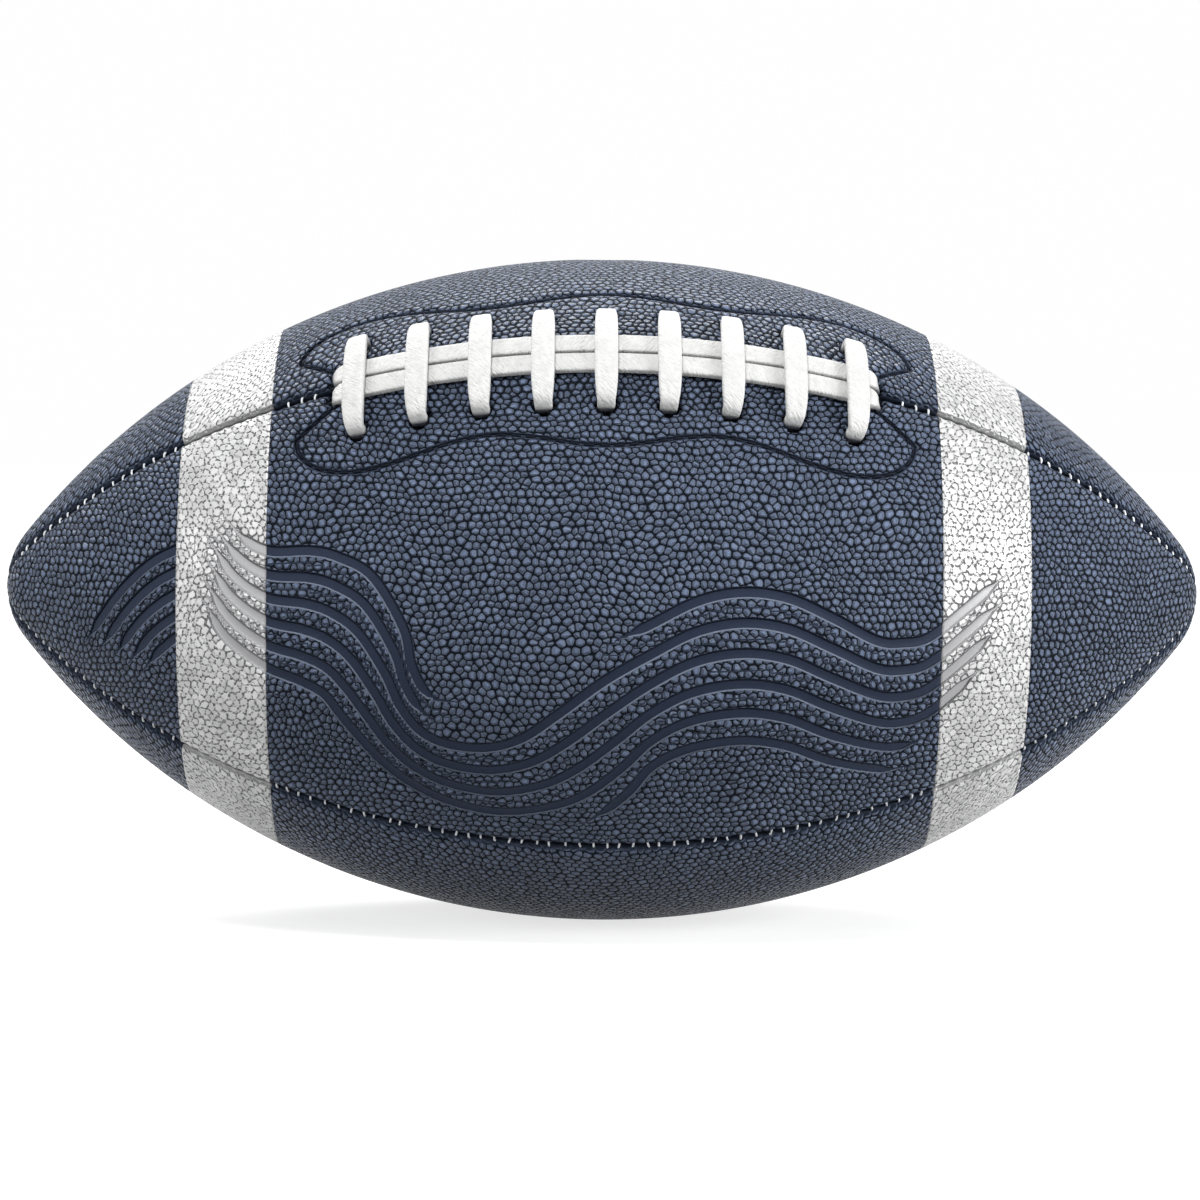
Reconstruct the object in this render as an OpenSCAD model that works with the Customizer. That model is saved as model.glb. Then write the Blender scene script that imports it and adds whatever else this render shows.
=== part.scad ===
// American football: four sewn cover panels, lining, bladder, valve and lace.
// The long axis is X and the origin is the ball's centre. Seen from the front (-Y)
// one whole panel faces the viewer and the laced seam lies on the upper front.

/* [Ball] */
// Length over the two tips
ball_length = 280; // [260:1:300]
// Diameter at the middle
ball_diameter = 155.2; // [148:0.4:172]
// Radius of the rounded tips
tip_radius = 20; // [16:0.5:24]
// Turn of the laced seam about the long axis, in degrees from straight down
lace_turn = 225; // [180:5:270]

/* [Cover] */
// Thickness of a cover panel
cover_t = 1.7; // [1.4:0.1:2.2]
// Thickness of the lining glued behind a panel
lining_t = 1.1; // [0.8:0.1:1.5]
// Space left between glued layers
layer_gap = 0.1; // [0.05:0.05:0.2]
// Near edge of a stripe, from the middle of the ball
stripe_near = 75; // [70:1:80]
// Width of a stripe along the ball
stripe_w = 21; // [15:1:26]
// Thickness of a stripe's film
film_t = 0.25; // [0.2:0.05:0.4]
// Space round a stripe's film in its recess
film_gap = 0.05; // [0.04:0.01:0.1]

/* [Seams] */
// Width of the slot between two panels
seam_gap = 1.2; // [1:0.1:1.6]
// Radius with which a panel's edge rolls into the seam
edge_roll = 1.8; // [1.2:0.1:2.2]
// Width of the turned-in edge behind the seam
edge_turn = 1.6; // [1.2:0.1:2.5]
// Radius of the seam thread
thread_r = 0.45; // [0.3:0.05:0.48]
// Depth of the seam thread's middle under the surface
thread_depth = 1.5; // [1.2:0.1:1.8]

/* [Lace] */
// Number of crossbars
bar_count = 9; // [7:1:9]
// Distance from one crossbar to the next
bar_pitch = 13.8; // [13:0.1:14]
// Distance of a lace hole from the seam
hole_offset = 13.5; // [12.5:0.1:15]
// Radius of a lace hole
hole_r = 2.5; // [2.4:0.05:2.8]
// Width of the lace
lace_w = 5.2; // [4.6:0.1:5.4]
// Thickness of the lace
lace_t = 1.6; // [1.2:0.1:1.8]
// Width of the lace where a hole pinches it
pinch_w = 4; // [3.6:0.1:4.2]
// Thickness of the lace where a hole pinches it
pinch_t = 2.2; // [1.8:0.1:2.3]
// Space between two strands and between a strand and a crossbar
strand_gap = 0.55; // [0.45:0.05:0.8]
// Space between the lace and the cover under it
lace_seat = 0.15; // [0.1:0.05:0.3]
// Distance past the last crossbar at which the strands dive in
strand_reach = 6.7; // [6.2:0.1:7.5]

/* [Facing] */
// Thickness of the lace facing
facing_t = 0.9; // [0.6:0.1:1.2]
// Half width of the facing's stitch line at the middle of the lace
facing_mid = 24; // [22:0.5:25]
// Half width of the facing's stitch line at its waist
facing_waist = 20.2; // [19:0.2:21]
// Half length of the facing's stitch line, at its points
facing_half = 69; // [67:0.5:71]
// Leather left outside the stitch line
facing_margin = 2; // [1.5:0.1:2.5]

/* [Inside] */
// Thickness of the guard between lace and bladder
guard_t = 0.8; // [0.6:0.1:1.2]
// Thickness of the bladder's wall
bladder_t = 0.8; // [0.6:0.1:1.2]
// Space between soft parts that lie on each other
soft_gap = 0.3; // [0.2:0.05:0.4]

/* [Valve] */
// Radius of the needle's bore
needle_bore_r = 1.05; // [1.02:0.01:1.1]
// Depth of the needle's bore
needle_bore_depth = 8; // [6:0.5:10]
// Radius of the plug
plug_r = 2; // [1.8:0.05:2.2]
// Radius of the valve's neck
neck_r = 3.2; // [3:0.1:3.6]
// Radius of the valve's flange
flange_r = 10; // [8:0.5:12]
// Thickness of the valve's flange
flange_t = 1; // [0.8:0.1:1.4]
// Depth of the neck's mouth under the surface
mouth_depth = 0.4; // [0.3:0.05:0.6]

/* [Hidden] */

$fn = 180;

navy = [0.16, 0.21, 0.31];
silver = [0.86, 0.87, 0.87];
lace_white = [0.94, 0.94, 0.93];
canvas = [0.72, 0.68, 0.58];
black_rubber = [0.12, 0.12, 0.13];
pale_rubber = [0.45, 0.43, 0.4];
thread_grey = [0.82, 0.83, 0.84];

// The outline from tip to tip is one long arc that runs tangent into a round tip at each end.
ball_r = ball_diameter / 2;
tip_middle = ball_length / 2 - tip_radius;
arc_r = (tip_middle * tip_middle + ball_r * ball_r - tip_radius * tip_radius)
    / (2 * (ball_r - tip_radius));
arc_drop = arc_r - ball_r;
arc_angle = atan2(tip_middle, arc_drop);
overrun = 1.5;

// Turns of the four panels' middles and of the seams about the long axis.
quarter = 90;
front_turn = lace_turn + quarter / 2;
top_turn = lace_turn - quarter / 2;
back_turn = top_turn - quarter;
bottom_turn = back_turn - quarter;
to_front = 1;
to_top = -1;

// Depths of the layers under the surface.
lining_depth = cover_t + layer_gap;
rim_depth = lining_depth + lining_t;
facing_depth = rim_depth + layer_gap;
under_top = facing_depth + facing_t + strand_gap;
under_middle = under_top + lace_t / 2;
hole_straight = facing_depth;
guard_depth = under_middle + pinch_t / 2 + soft_gap;
pocket_depth = guard_depth + guard_t + soft_gap;
bladder_depth = rim_depth + soft_gap;

// Half width of the slot, place of the rolled edges' middles and half width of the
// turned-in edges. Each round stands a little past the surface and past the slot's wall.
slot_half = seam_gap / 2;
edge_lift = 0.2;
roll_half = slot_half + edge_roll - edge_lift / 2;
turn_half = slot_half + edge_turn;

// Lace: crossbars, the two long strands under them and where these dive in.
bar_reach = bar_pitch * (bar_count - 1) / 2;
strand_offset = (lace_w + strand_gap) / 2;
strand_rise = lace_seat + lace_t / 2;
bar_rise = lace_seat + 1.5 * lace_t + strand_gap;
strand_turn = 3.7;
dive_x = bar_reach + strand_reach;
dive_drop = 1.6;
eyelet_x = dive_x - film_t;
eyelet_offset = lace_w / 2;
eyelet_r = hole_r + soft_gap;
slit_half = dive_x + eyelet_r;
tail_length = 6;
bar_bend_share = 3.2;
dive_bend_share = 2.2;

guard_half_l = dive_x + pinch_w + 2 * tail_length;
guard_half_w = hole_offset + 2 * hole_r;
pocket_half_l = guard_half_l + 2 * overrun;
pocket_half_w = facing_mid + facing_margin + 2 * overrun;
pocket_corner = pocket_half_w / 2;

plug_gap = 0.05;
plug_depth = mouth_depth + mouth_depth;
plug_end = 1.5;
plug_length = needle_bore_depth + plug_end;

function surface_tilt(x) = asin(x / arc_r);
function surface_r(x) = arc_r * cos(surface_tilt(x)) - arc_drop;
function degrees_of(arc, radius) = arc / radius * 180 / PI;

// Frame whose Z runs along the ball's long axis and whose X points out at the given turn.
module at_turn(turn) {
    rotate([0, quarter, 0])
        rotate([0, 0, turn])
            children();
}

// Half of the outline, at a depth under the surface. The line from the long arc's centre
// through a tip's centre parts the two arcs, and is followed far past the surface.
wedge_share = 4;
wedge_r = wedge_share * arc_drop;
wedge_x = (1 + wedge_share) * tip_middle;

module half_outline(depth) {
    intersection() {
        translate([-arc_drop, 0])
            circle(arc_r - depth);
        polygon([[0, -tip_middle], [wedge_r, -wedge_x], [wedge_r, wedge_x], [0, tip_middle]]);
    }
    for (end = [0, 1])
        mirror([0, end])
            intersection() {
                translate([0, tip_middle])
                    circle(tip_radius - depth);
                polygon([[0, tip_middle], [wedge_r, wedge_x], [0, wedge_x]]);
            }
}

module layer(outer_depth, inner_depth) {
    difference() {
        half_outline(outer_depth);
        half_outline(inner_depth);
    }
}

// A quarter of a layer round the ball, centred on the given turn.
module quarter_layer(turn, outer_depth, inner_depth) {
    at_turn(turn - quarter / 2)
        rotate_extrude(angle = quarter)
            layer(outer_depth, inner_depth);
}

module quarter_core(turn, depth) {
    at_turn(turn - quarter / 2)
        rotate_extrude(angle = quarter)
            half_outline(depth);
}

// Flat slab that holds the long axis and one seam.
module seam_slab(turn, half) {
    at_turn(turn)
        translate([0, -half, -ball_length])
            cube([ball_diameter, 2 * half, 2 * ball_length]);
}

module both_slabs(turn, half) {
    seam_slab(turn - quarter / 2, half);
    seam_slab(turn + quarter / 2, half);
}

// Sweeps a section along a seam's arc, between two angles from the middle of the ball.
// The section's X is the height over the surface and its Y lies across the seam.
module along_arc(turn, from, to) {
    at_turn(turn)
        rotate([quarter, 0, 0])
            translate([-arc_drop, 0, 0])
                rotate([0, 0, from])
                    rotate_extrude(angle = to - from)
                        translate([arc_r, 0])
                            children();
}

// Sweeps a section round one tip, from the long arc's end, or a lap before it, up to an
// angle short of the axis.
module round_tip(turn, side, short_of_axis, lap) {
    start = arc_angle - lap;
    sweep = quarter - short_of_axis - start;
    at_turn(turn)
        rotate([quarter, 0, 0])
            translate([0, side * tip_middle, 0])
                rotate([0, 0, side > 0 ? start : -start - sweep])
                    rotate_extrude(angle = sweep)
                        translate([tip_radius, 0])
                            children();
}

// Groove between two rolled edges. Each edge is a round that meets the surface and the
// slot's wall at a slight angle. The trim makes the groove that much narrower.
module rolled_groove(trim) {
    difference() {
        translate([-edge_roll, -roll_half])
            square([edge_roll + overrun, 2 * roll_half]);
        for (side = [-1, 1])
            translate([edge_lift - edge_roll, side * roll_half])
                circle(edge_roll + trim);
    }
}

// The rolled edges fade out just before the tips, where the four seams meet.
groove_short = 12;
groove_lap = 1;
groove_trim = 0.03;
module both_grooves(turn) {
    for (side = [-1, 1]) {
        along_arc(turn + side * quarter / 2, -arc_angle, arc_angle)
            rolled_groove(0);
        for (end = [-1, 1])
            round_tip(turn + side * quarter / 2, end, groove_short, groove_lap)
                rolled_groove(groove_trim);
    }
}

// Band of the ball between the two edges of one stripe.
module stripe_band(turn, end, inset, outer_depth, inner_depth) {
    at_turn(turn - quarter / 2)
        rotate_extrude(angle = quarter)
            mirror([0, end])
                intersection() {
                    layer(outer_depth, inner_depth);
                    translate([0, stripe_near + inset])
                        square([ball_diameter, stripe_w - 2 * inset]);
                }
}

// Cylinder square to the surface at a distance along the ball and an arc from the laced seam.
module surface_hole(x, arc, radius, depth) {
    at_turn(lace_turn + degrees_of(arc, surface_r(x)))
        translate([-arc_drop, 0, 0])
            rotate([0, -surface_tilt(x), 0])
                translate([arc_r - depth, 0, 0])
                    rotate([0, quarter, 0])
                        cylinder(h = depth + overrun, r = radius);
}

// Holes on one side of the laced seam. The two for the strands' ends open into the slot.
module lace_holes(side) {
    for (bar = [0 : bar_count - 1])
        surface_hole(bar * bar_pitch - bar_reach, side * hole_offset, hole_r, under_top);
    for (end = [-1, 1])
        surface_hole(end * eyelet_x, side * eyelet_offset, eyelet_r, under_top);
}

module valve_hole(radius) {
    at_turn(top_turn)
        rotate([0, quarter, 0])
            cylinder(h = ball_diameter, r = radius);
}

// Cover panel: a quarter shell whose edges roll and turn in along its two seams.
module cover_panel(turn) {
    color(navy)
        difference() {
            quarter_layer(turn, 0, rim_depth);
            difference() {
                quarter_core(turn, cover_t);
                both_slabs(turn, turn_half);
            }
            both_slabs(turn, slot_half);
            both_grooves(turn);
            for (end = [0, 1])
                stripe_band(turn, end, 0, -overrun, film_t + film_gap);
            children();
        }
}

module front_panel() {
    cover_panel(front_turn)
        lace_holes(to_front);
}

module top_panel() {
    cover_panel(top_turn) {
        lace_holes(to_top);
        valve_hole(neck_r + soft_gap);
    }
}

module back_panel() {
    cover_panel(back_turn);
}

module bottom_panel() {
    cover_panel(bottom_turn);
}

// Lining: a thinner quarter shell that fills the panel up to its turned-in edges.
module panel_lining(turn) {
    color(canvas)
        difference() {
            quarter_layer(turn, lining_depth, rim_depth);
            both_slabs(turn, turn_half + layer_gap);
            children();
        }
}

module front_lining() {
    panel_lining(front_turn)
        lace_holes(to_front);
}

module top_lining() {
    panel_lining(top_turn) {
        lace_holes(to_top);
        valve_hole(neck_r + soft_gap);
    }
}

module back_lining() {
    panel_lining(back_turn);
}

module bottom_lining() {
    panel_lining(bottom_turn);
}

// Film of one stripe: a piece on each panel, between the rolled edges.
module stripe(end) {
    color(silver)
        for (turn = [front_turn, top_turn, back_turn, bottom_turn])
            difference() {
                stripe_band(turn, end, film_gap, 0, film_t);
                both_slabs(turn, slot_half);
                both_grooves(turn);
            }
}

module left_stripe() {
    stripe(1);
}

module right_stripe() {
    stripe(0);
}

// Half width of the facing's stitch line. It swells at the middle and near each end,
// and an ellipse closes it to a point past the last crossbar.
facing_wave = (facing_mid - facing_waist) / 2;
facing_swell = bar_pitch * 3.8;
facing_point_share = 0.5;
function facing_line(x) =
    abs(x) < facing_swell
        ? facing_waist + facing_wave + facing_wave * cos(360 * x / facing_swell)
        : facing_mid * (facing_point_share + (1 - facing_point_share)
            * sqrt(max(0, 1 - pow((abs(x) - facing_swell) / (facing_half - facing_swell), 2))));

// Each end is cut back from its point to the slit, like a swallow's tail.
facing_tail = slit_half + facing_margin / 2;

// Point of the facing's edge, laid out on the flat that the ball's surface bends over.
facing_steps = 48;
function flat_point(x, arc) = [x, surface_r(x) * sin(degrees_of(arc, surface_r(x)))];

module facing_outline(margin) {
    half = facing_half + margin;
    base = turn_half;
    points = [
        for (step = [0 : facing_steps])
            let (share = 2 * step / facing_steps - 1)
                flat_point(half * share, facing_line(facing_half * share) + margin)
    ];
    polygon(concat([[-facing_tail, base]], points, [[facing_tail, base]]));
}

// Facing: reinforcement behind the lace holes, on one side of the laced seam.
module lace_facing(turn, side) {
    color(canvas)
        difference() {
            intersection() {
                quarter_layer(turn, facing_depth, facing_depth + facing_t);
                at_turn(lace_turn)
                    mirror([0, side > 0 ? 0 : 1, 0])
                        rotate([quarter, 0, quarter])
                            linear_extrude(ball_diameter)
                                rotate(quarter)
                                    mirror([0, 1])
                                        facing_outline(facing_margin);
            }
            lace_holes(side);
        }
}

module front_lace_facing() {
    lace_facing(front_turn, to_front);
}

module top_lace_facing() {
    lace_facing(top_turn, to_top);
}

// Lace: one flat cord. A tail lies inside, the cord comes out at the left end of the slit,
// runs along it, turns back inside the right end, runs beside itself and dives in again.
// From there it winds over both strands and under the facing, once for each crossbar.
// A station of its route holds the distance along the ball, the arc from the seam, the
// height over the surface, the turn of its width towards the long axis and the pinch.
strand_steps = 20;
dive_steps = 6;
bar_steps = 12;
under_steps = 8;
pinch_share = 12;
u_turn_twist = 60;
u_turn_mid_twist = 90;

function eased(share, power) = sign(share) * pow(abs(share), 2 / power);

function arch(from, to, base, crown, power, steps, twists) = [
    for (step = [0 : steps])
        let (
            along = eased(-cos(180 * step / steps), power),
            rise = eased(sin(180 * step / steps), power),
            late = max(0, 2 * step / steps - 1),
            early = max(0, 1 - 2 * step / steps)
        )
        [
            (from.x + to.x + along * (to.x - from.x)) / 2,
            (from.y + to.y + along * (to.y - from.y)) / 2,
            base + (crown - base) * rise,
            twists[1] + early * (twists[0] - twists[1]) + late * (twists[2] - twists[1]),
            pow(abs(along), pinch_share)
        ]
];

function crossbar(x) = arch(
    [x, -hole_offset], [x, hole_offset], 0, bar_rise, bar_bend_share, bar_steps,
    [quarter, quarter, quarter]
);

function under_run(from, to, twists) = arch(
    from, to, -hole_straight, -under_middle, bar_bend_share, under_steps, twists
);

// Strand's end, from the surface down into its hole. Its width turns once it is inside.
function dive(end, arc, twist) = [
    for (step = [0 : dive_steps])
        let (
            x = dive_x - strand_turn + strand_turn * eased(sin(quarter * step / dive_steps), dive_bend_share),
            fall = 1 - eased(cos(quarter * step / dive_steps), dive_bend_share),
            h = strand_rise - (strand_rise + dive_drop) * fall
        )
        [end * x, arc, h, twist * max(0, -h) / hole_straight,
            min(1, max(0, (strand_rise - h) / strand_rise))]
];

function strand(from, to, arc) = [
    for (step = [1 : strand_steps - 1])
        [from + (to - from) * step / strand_steps, arc, strand_rise, 0, 0]
];

function backwards(list) = [for (i = [len(list) - 1 : -1 : 0]) list[i]];
function first_half(list) = [for (i = [0 : floor(len(list) / 2)]) list[i]];

surface_end = dive_x - strand_turn;
function lace_route() =
    let (
        bar_x = [for (bar = [0 : bar_count - 1]) bar * bar_pitch - bar_reach],
        tail_in = backwards(first_half(under_run(
            [-dive_x, strand_offset],
            [-dive_x - 2 * tail_length, strand_offset],
            [0, 0, 0]
        ))),
        tail_out = first_half(under_run(
            [bar_reach, hole_offset],
            [bar_reach + lace_w / 2, -strand_offset / 2],
            [quarter, quarter, quarter]
        )),
        winding = [
            for (bar = [0 : bar_count - 1])
                each concat(
                    [[bar_x[bar], -hole_offset, -hole_straight / 2, quarter, 1]],
                    crossbar(bar_x[bar]),
                    [[bar_x[bar], hole_offset, -hole_straight / 2, quarter, 1]],
                    bar < bar_count - 1
                        ? under_run(
                            [bar_x[bar], hole_offset],
                            [bar_x[bar + 1], -hole_offset],
                            [quarter, quarter, quarter]
                        )
                        : tail_out
                )
        ]
    )
    concat(
        tail_in,
        backwards(dive(-1, strand_offset, 0)),
        strand(-surface_end, surface_end, strand_offset),
        dive(1, strand_offset, u_turn_twist),
        under_run(
            [dive_x, strand_offset],
            [dive_x, -strand_offset],
            [u_turn_twist, u_turn_mid_twist, u_turn_twist]
        ),
        backwards(dive(1, -strand_offset, u_turn_twist)),
        strand(surface_end, -surface_end, -strand_offset),
        dive(-1, -strand_offset, u_turn_twist),
        under_run(
            [-dive_x, -strand_offset],
            [-bar_reach, -hole_offset],
            [u_turn_twist, u_turn_twist, quarter]
        ),
        winding
    );

function station_turn(station) = degrees_of(station[1], surface_r(station.x));
function station_point(station) =
    let (
        tilt = surface_tilt(station.x),
        turn = station_turn(station),
        radius = (arc_r + station[2]) * cos(tilt) - arc_drop
    )
    [radius * cos(turn), radius * sin(turn), (arc_r + station[2]) * sin(tilt)];
function width_wish(station) =
    let (tilt = surface_tilt(station.x), turn = station_turn(station), twist = station[3])
    cos(twist) * [-sin(turn), cos(turn), 0]
        + sin(twist) * [-sin(tilt) * cos(turn), -sin(tilt) * sin(turn), cos(tilt)];
function unit(v) = v / norm(v);

// Frame of each station: middle, tangent, width direction, thickness direction, half sizes.
function lace_frames(route) =
    let (points = [for (station = route) station_point(station)], last = len(route) - 1)
    [
        for (i = [0 : last])
            let (
                tangent = unit(points[min(i + 1, last)] - points[max(i - 1, 0)]),
                wish = width_wish(route[i]),
                width = unit(wish - (wish * tangent) * tangent),
                pinch = route[i][4]
            )
            [
                points[i], tangent, width, cross(tangent, width),
                (lace_w + (pinch_w - lace_w) * pinch) / 2,
                (lace_t + (pinch_t - lace_t) * pinch) / 2
            ]
    ];

// Section of the flat cord as shares of its half width and half thickness.
side_share = 0.45;
flat_share = 0.75;
section_shares = [
    [1, -side_share], [1, side_share], [flat_share, 1], [-flat_share, 1],
    [-1, side_share], [-1, -side_share], [-flat_share, -1], [flat_share, -1]
];
function lace_ring(frame) = [
    for (share = section_shares)
        frame[0] + share.x * frame[4] * frame[2] + share.y * frame[5] * frame[3]
];

// Least gap of the cord to itself: surface points of one ring against the section of
// every ring that lies more than a loop's stations away along the cord.
function ring_gap(frame, half_step, ring) = min([
    for (point = ring)
        let (
            off = point - frame[0],
            wide = max(0, abs(off * frame[2]) - frame[4]),
            thick = max(0, abs(off * frame[3]) - frame[5])
        )
        abs(off * frame[1]) > half_step ? ball_length : norm([wide, thick])
]);
function least_gap(frames, rings, apart, near) = min([
    for (i = [1 : len(frames) - 2])
        let (half_step = norm(frames[i + 1][0] - frames[i - 1][0]) / 2)
        for (j = [0 : len(frames) - 1])
            if (abs(i - j) >= apart && norm(frames[i][0] - frames[j][0]) < near)
                ring_gap(frames[i], half_step, rings[j])
]);

module lace() {
    frames = lace_frames(lace_route());
    rings = [for (frame = frames) lace_ring(frame)];
    sides = len(section_shares);
    last = len(rings) - 1;
    echo(least_lace_gap = least_gap(frames, rings, under_steps, 2 * lace_w));
    walls = [
        for (i = [0 : last - 1], k = [0 : sides - 1])
            let (a = i * sides + k, b = i * sides + (k + 1) % sides)
            each [[a, b + sides, b], [a, a + sides, b + sides]]
    ];
    caps = [
        for (k = [1 : sides - 2])
            each [[0, k, k + 1], [last * sides, last * sides + k + 1, last * sides + k]]
    ];
    color(lace_white)
        at_turn(lace_turn)
            polyhedron([for (ring = rings) each ring], concat(walls, caps));
}

// Rounded block over the laced seam, from the long axis outwards.
module rounded_block(half_l, half_w, corner) {
    at_turn(lace_turn)
        rotate([0, quarter, 0])
            linear_extrude(ball_diameter) {
                square([2 * half_l, 2 * (half_w - corner)], center = true);
                square([2 * (half_l - corner), 2 * half_w], center = true);
                for (sx = [-1, 1], sy = [-1, 1])
                    translate([sx * (half_l - corner), sy * (half_w - corner)])
                        circle(corner);
            }
}

// Guard: a thin curved tongue that keeps the lace off the bladder.
module lace_guard() {
    color(canvas)
        intersection() {
            at_turn(lace_turn - quarter / 2)
                rotate_extrude(angle = quarter)
                    layer(guard_depth, guard_depth + guard_t);
            rounded_block(guard_half_l, guard_half_w, guard_half_w / 2);
        }
}

// Bladder: a closed wall that fills the lining and is pressed in under the lace.
module bladder_form(inset) {
    at_turn(0)
        rotate_extrude()
            half_outline(pocket_depth + inset);
    difference() {
        at_turn(0)
            rotate_extrude()
                half_outline(bladder_depth + inset);
        rounded_block(pocket_half_l + inset, pocket_half_w + inset, pocket_corner + inset);
    }
}

module bladder() {
    color(black_rubber)
        difference() {
            bladder_form(0);
            bladder_form(bladder_t);
            valve_hole(neck_r + layer_gap);
        }
}

// Valve: a flanged neck bonded into the bladder, with a soft plug that the needle enters.
module valve_body(radius, top, length) {
    at_turn(top_turn)
        translate([ball_r - top - length, 0, 0])
            rotate([0, quarter, 0])
                cylinder(h = length, r = radius);
}

module valve_housing() {
    inner_depth = bladder_depth + bladder_t + layer_gap;
    color(black_rubber)
        difference() {
            union() {
                valve_body(neck_r, mouth_depth, plug_depth - mouth_depth + plug_length);
                intersection() {
                    quarter_layer(top_turn, inner_depth, inner_depth + flange_t);
                    valve_body(flange_r, 0, ball_r);
                }
            }
            valve_body(plug_r + plug_gap, 0, ball_r);
        }
}

module valve_plug() {
    color(pale_rubber)
        difference() {
            valve_body(plug_r, plug_depth, plug_length);
            valve_body(needle_bore_r, plug_depth - overrun, needle_bore_depth + overrun);
        }
}

// Seam threads: round cords deep in the slots. They stop short of the axis at the tips,
// where the four seams meet, and the laced seam's thread leaves the slit open.
thread_stop = acos(3 * thread_r / (tip_radius - thread_depth));
thread_short = quarter - thread_stop;
slit_angle = surface_tilt(slit_half);

thread_taper = 0.03;
thread_lap = 1;

module thread_section(radius) {
    translate([-thread_depth, 0])
        circle(radius, $fn = 48);
}

// Thread round one tip: a trace thinner, and let into the end of the long stretch.
module tip_thread(turn, side) {
    round_tip(turn, side, thread_short, thread_lap)
        thread_section(thread_r - thread_taper);
}

module seam_thread(turn) {
    color(thread_grey) {
        along_arc(turn, -arc_angle, arc_angle)
            thread_section(thread_r);
        for (side = [-1, 1])
            tip_thread(turn, side);
    }
}

module lace_seam_thread() {
    color(thread_grey)
        for (side = [-1, 1]) {
            along_arc(lace_turn, side > 0 ? slit_angle : -arc_angle, side > 0 ? arc_angle : -slit_angle)
                thread_section(thread_r);
            tip_thread(lace_turn, side);
        }
}

module top_back_seam_thread() {
    seam_thread(top_turn - quarter / 2);
}

module back_bottom_seam_thread() {
    seam_thread(back_turn - quarter / 2);
}

module front_bottom_seam_thread() {
    seam_thread(front_turn + quarter / 2);
}

front_panel();
top_panel();
back_panel();
bottom_panel();
front_lining();
top_lining();
back_lining();
bottom_lining();
front_lace_facing();
top_lace_facing();
left_stripe();
right_stripe();
lace();
lace_guard();
bladder();
valve_housing();
valve_plug();
lace_seam_thread();
top_back_seam_thread();
back_bottom_seam_thread();
front_bottom_seam_thread();
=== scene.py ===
"""American football: grained cover, silver stripes, lace, stitching, light and camera.

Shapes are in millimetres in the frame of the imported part, and mesh_piece() turns them into
metres. Lamps and the camera's clipping are in metres. The long axis is X and the origin is
the ball's centre. A turn is an angle about the long axis, counted from straight down and
growing towards the back.
"""
import math

import bpy
import numpy as np
from mathutils import Matrix, Vector
from mathutils.kdtree import KDTree

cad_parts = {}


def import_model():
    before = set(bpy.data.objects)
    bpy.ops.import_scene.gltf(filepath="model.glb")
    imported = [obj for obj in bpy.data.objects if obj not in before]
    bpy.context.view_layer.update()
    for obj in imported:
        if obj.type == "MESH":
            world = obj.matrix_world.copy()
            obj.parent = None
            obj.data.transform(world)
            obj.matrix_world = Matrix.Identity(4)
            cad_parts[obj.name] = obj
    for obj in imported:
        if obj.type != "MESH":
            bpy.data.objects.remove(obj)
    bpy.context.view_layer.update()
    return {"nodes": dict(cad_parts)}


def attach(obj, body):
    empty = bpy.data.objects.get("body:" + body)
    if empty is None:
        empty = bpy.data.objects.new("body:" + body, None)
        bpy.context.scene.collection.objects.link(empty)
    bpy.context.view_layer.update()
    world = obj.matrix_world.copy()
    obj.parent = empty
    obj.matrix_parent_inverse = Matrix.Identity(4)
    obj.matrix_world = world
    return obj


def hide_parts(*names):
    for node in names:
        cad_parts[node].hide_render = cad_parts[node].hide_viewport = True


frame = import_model()

MM = 0.001

# Ball
BALL_LENGTH = 280
BALL_DIAMETER = 155.2
TIP_RADIUS = 20
TIP_OPENING = 0.5
COVER_T = 1.7
STRIPE_NEAR = 75
STRIPE_FAR = 96
FILM_T = 0.25
FILM_GAP = 0.05

# Panels and seams, by the turn of their middle
PANELS = {"front": math.radians(270), "top": math.radians(180), "back": math.radians(90),
          "bottom": 0.0}
LACE_TURN = math.radians(225)
SEAMS = {"lace_seam": LACE_TURN, "top_back_seam": math.radians(135),
         "back_bottom_seam": math.radians(45), "front_bottom_seam": math.radians(315)}
# Panels beside the lace: 1 where turns grow away from it, else -1
LACED_PANELS = {"front": 1, "top": -1}

# Slots between the panels, and the edges rolled into them; shares are of a panel's half width
SLOT_HALF = 0.6
TIP_SLOT_HALF = 0.12
SLOT_TAPER_R = 16
STRIPE_SLOT_CUT = 0.6
STRIPE_SLOT_FADE = 1
ROLL_W = 2.4
ROLL_D = 1.5
ROLL_SHARE = 0.45
RIM_DEPTH = 2.9
RIM_WIDTH = 1.6
RIM_SHARE = 0.5
RIM_SLOPE = 0.1
RIM_LEAST_STEP = 0.01
PUCKER_PITCH = 3.1
PUCKER_H = 0.16
PUCKER_REACH = 3.2
PUCKER_FADE_POWER = 1.5
PUCKER_DRIFT = 0.8
PUCKER_DRIFT_RUN = 7.3

# Lace. A corner power sets how square a bow or a section is: 2 is round, more is squarer.
# A twist is in degrees: 0 where the cord's width lies across the ball, 90 where it lies along.
BAR_COUNT = 9
BAR_PITCH = 13.8
HOLE_OFFSET = 13.5
HOLE_R = 2.5
LACE_W = 5.2
LACE_T = 1.6
PINCH_W = 4.0
PINCH_T = 2.2
PINCH_POWER = 5
STRAND_GAP = 0.55
LACE_SEAT = 0.15
DIVE_X = 60.4
STRAND_TURN = 2.6
DIVE_DROP = 1.6
HOLE_STRAIGHT = 3.0
UNDER_MIDDLE = 5.25
TAIL_LENGTH = 6
EYELET_X = 60.1
EYELET_OFFSET = 2.6
EYELET_R = 2.6
BAR_BEND = 3.2
DIVE_BEND = 2.2
BAR_TWIST = 90
BAR_TWISTS = (BAR_TWIST, BAR_TWIST, BAR_TWIST)
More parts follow.
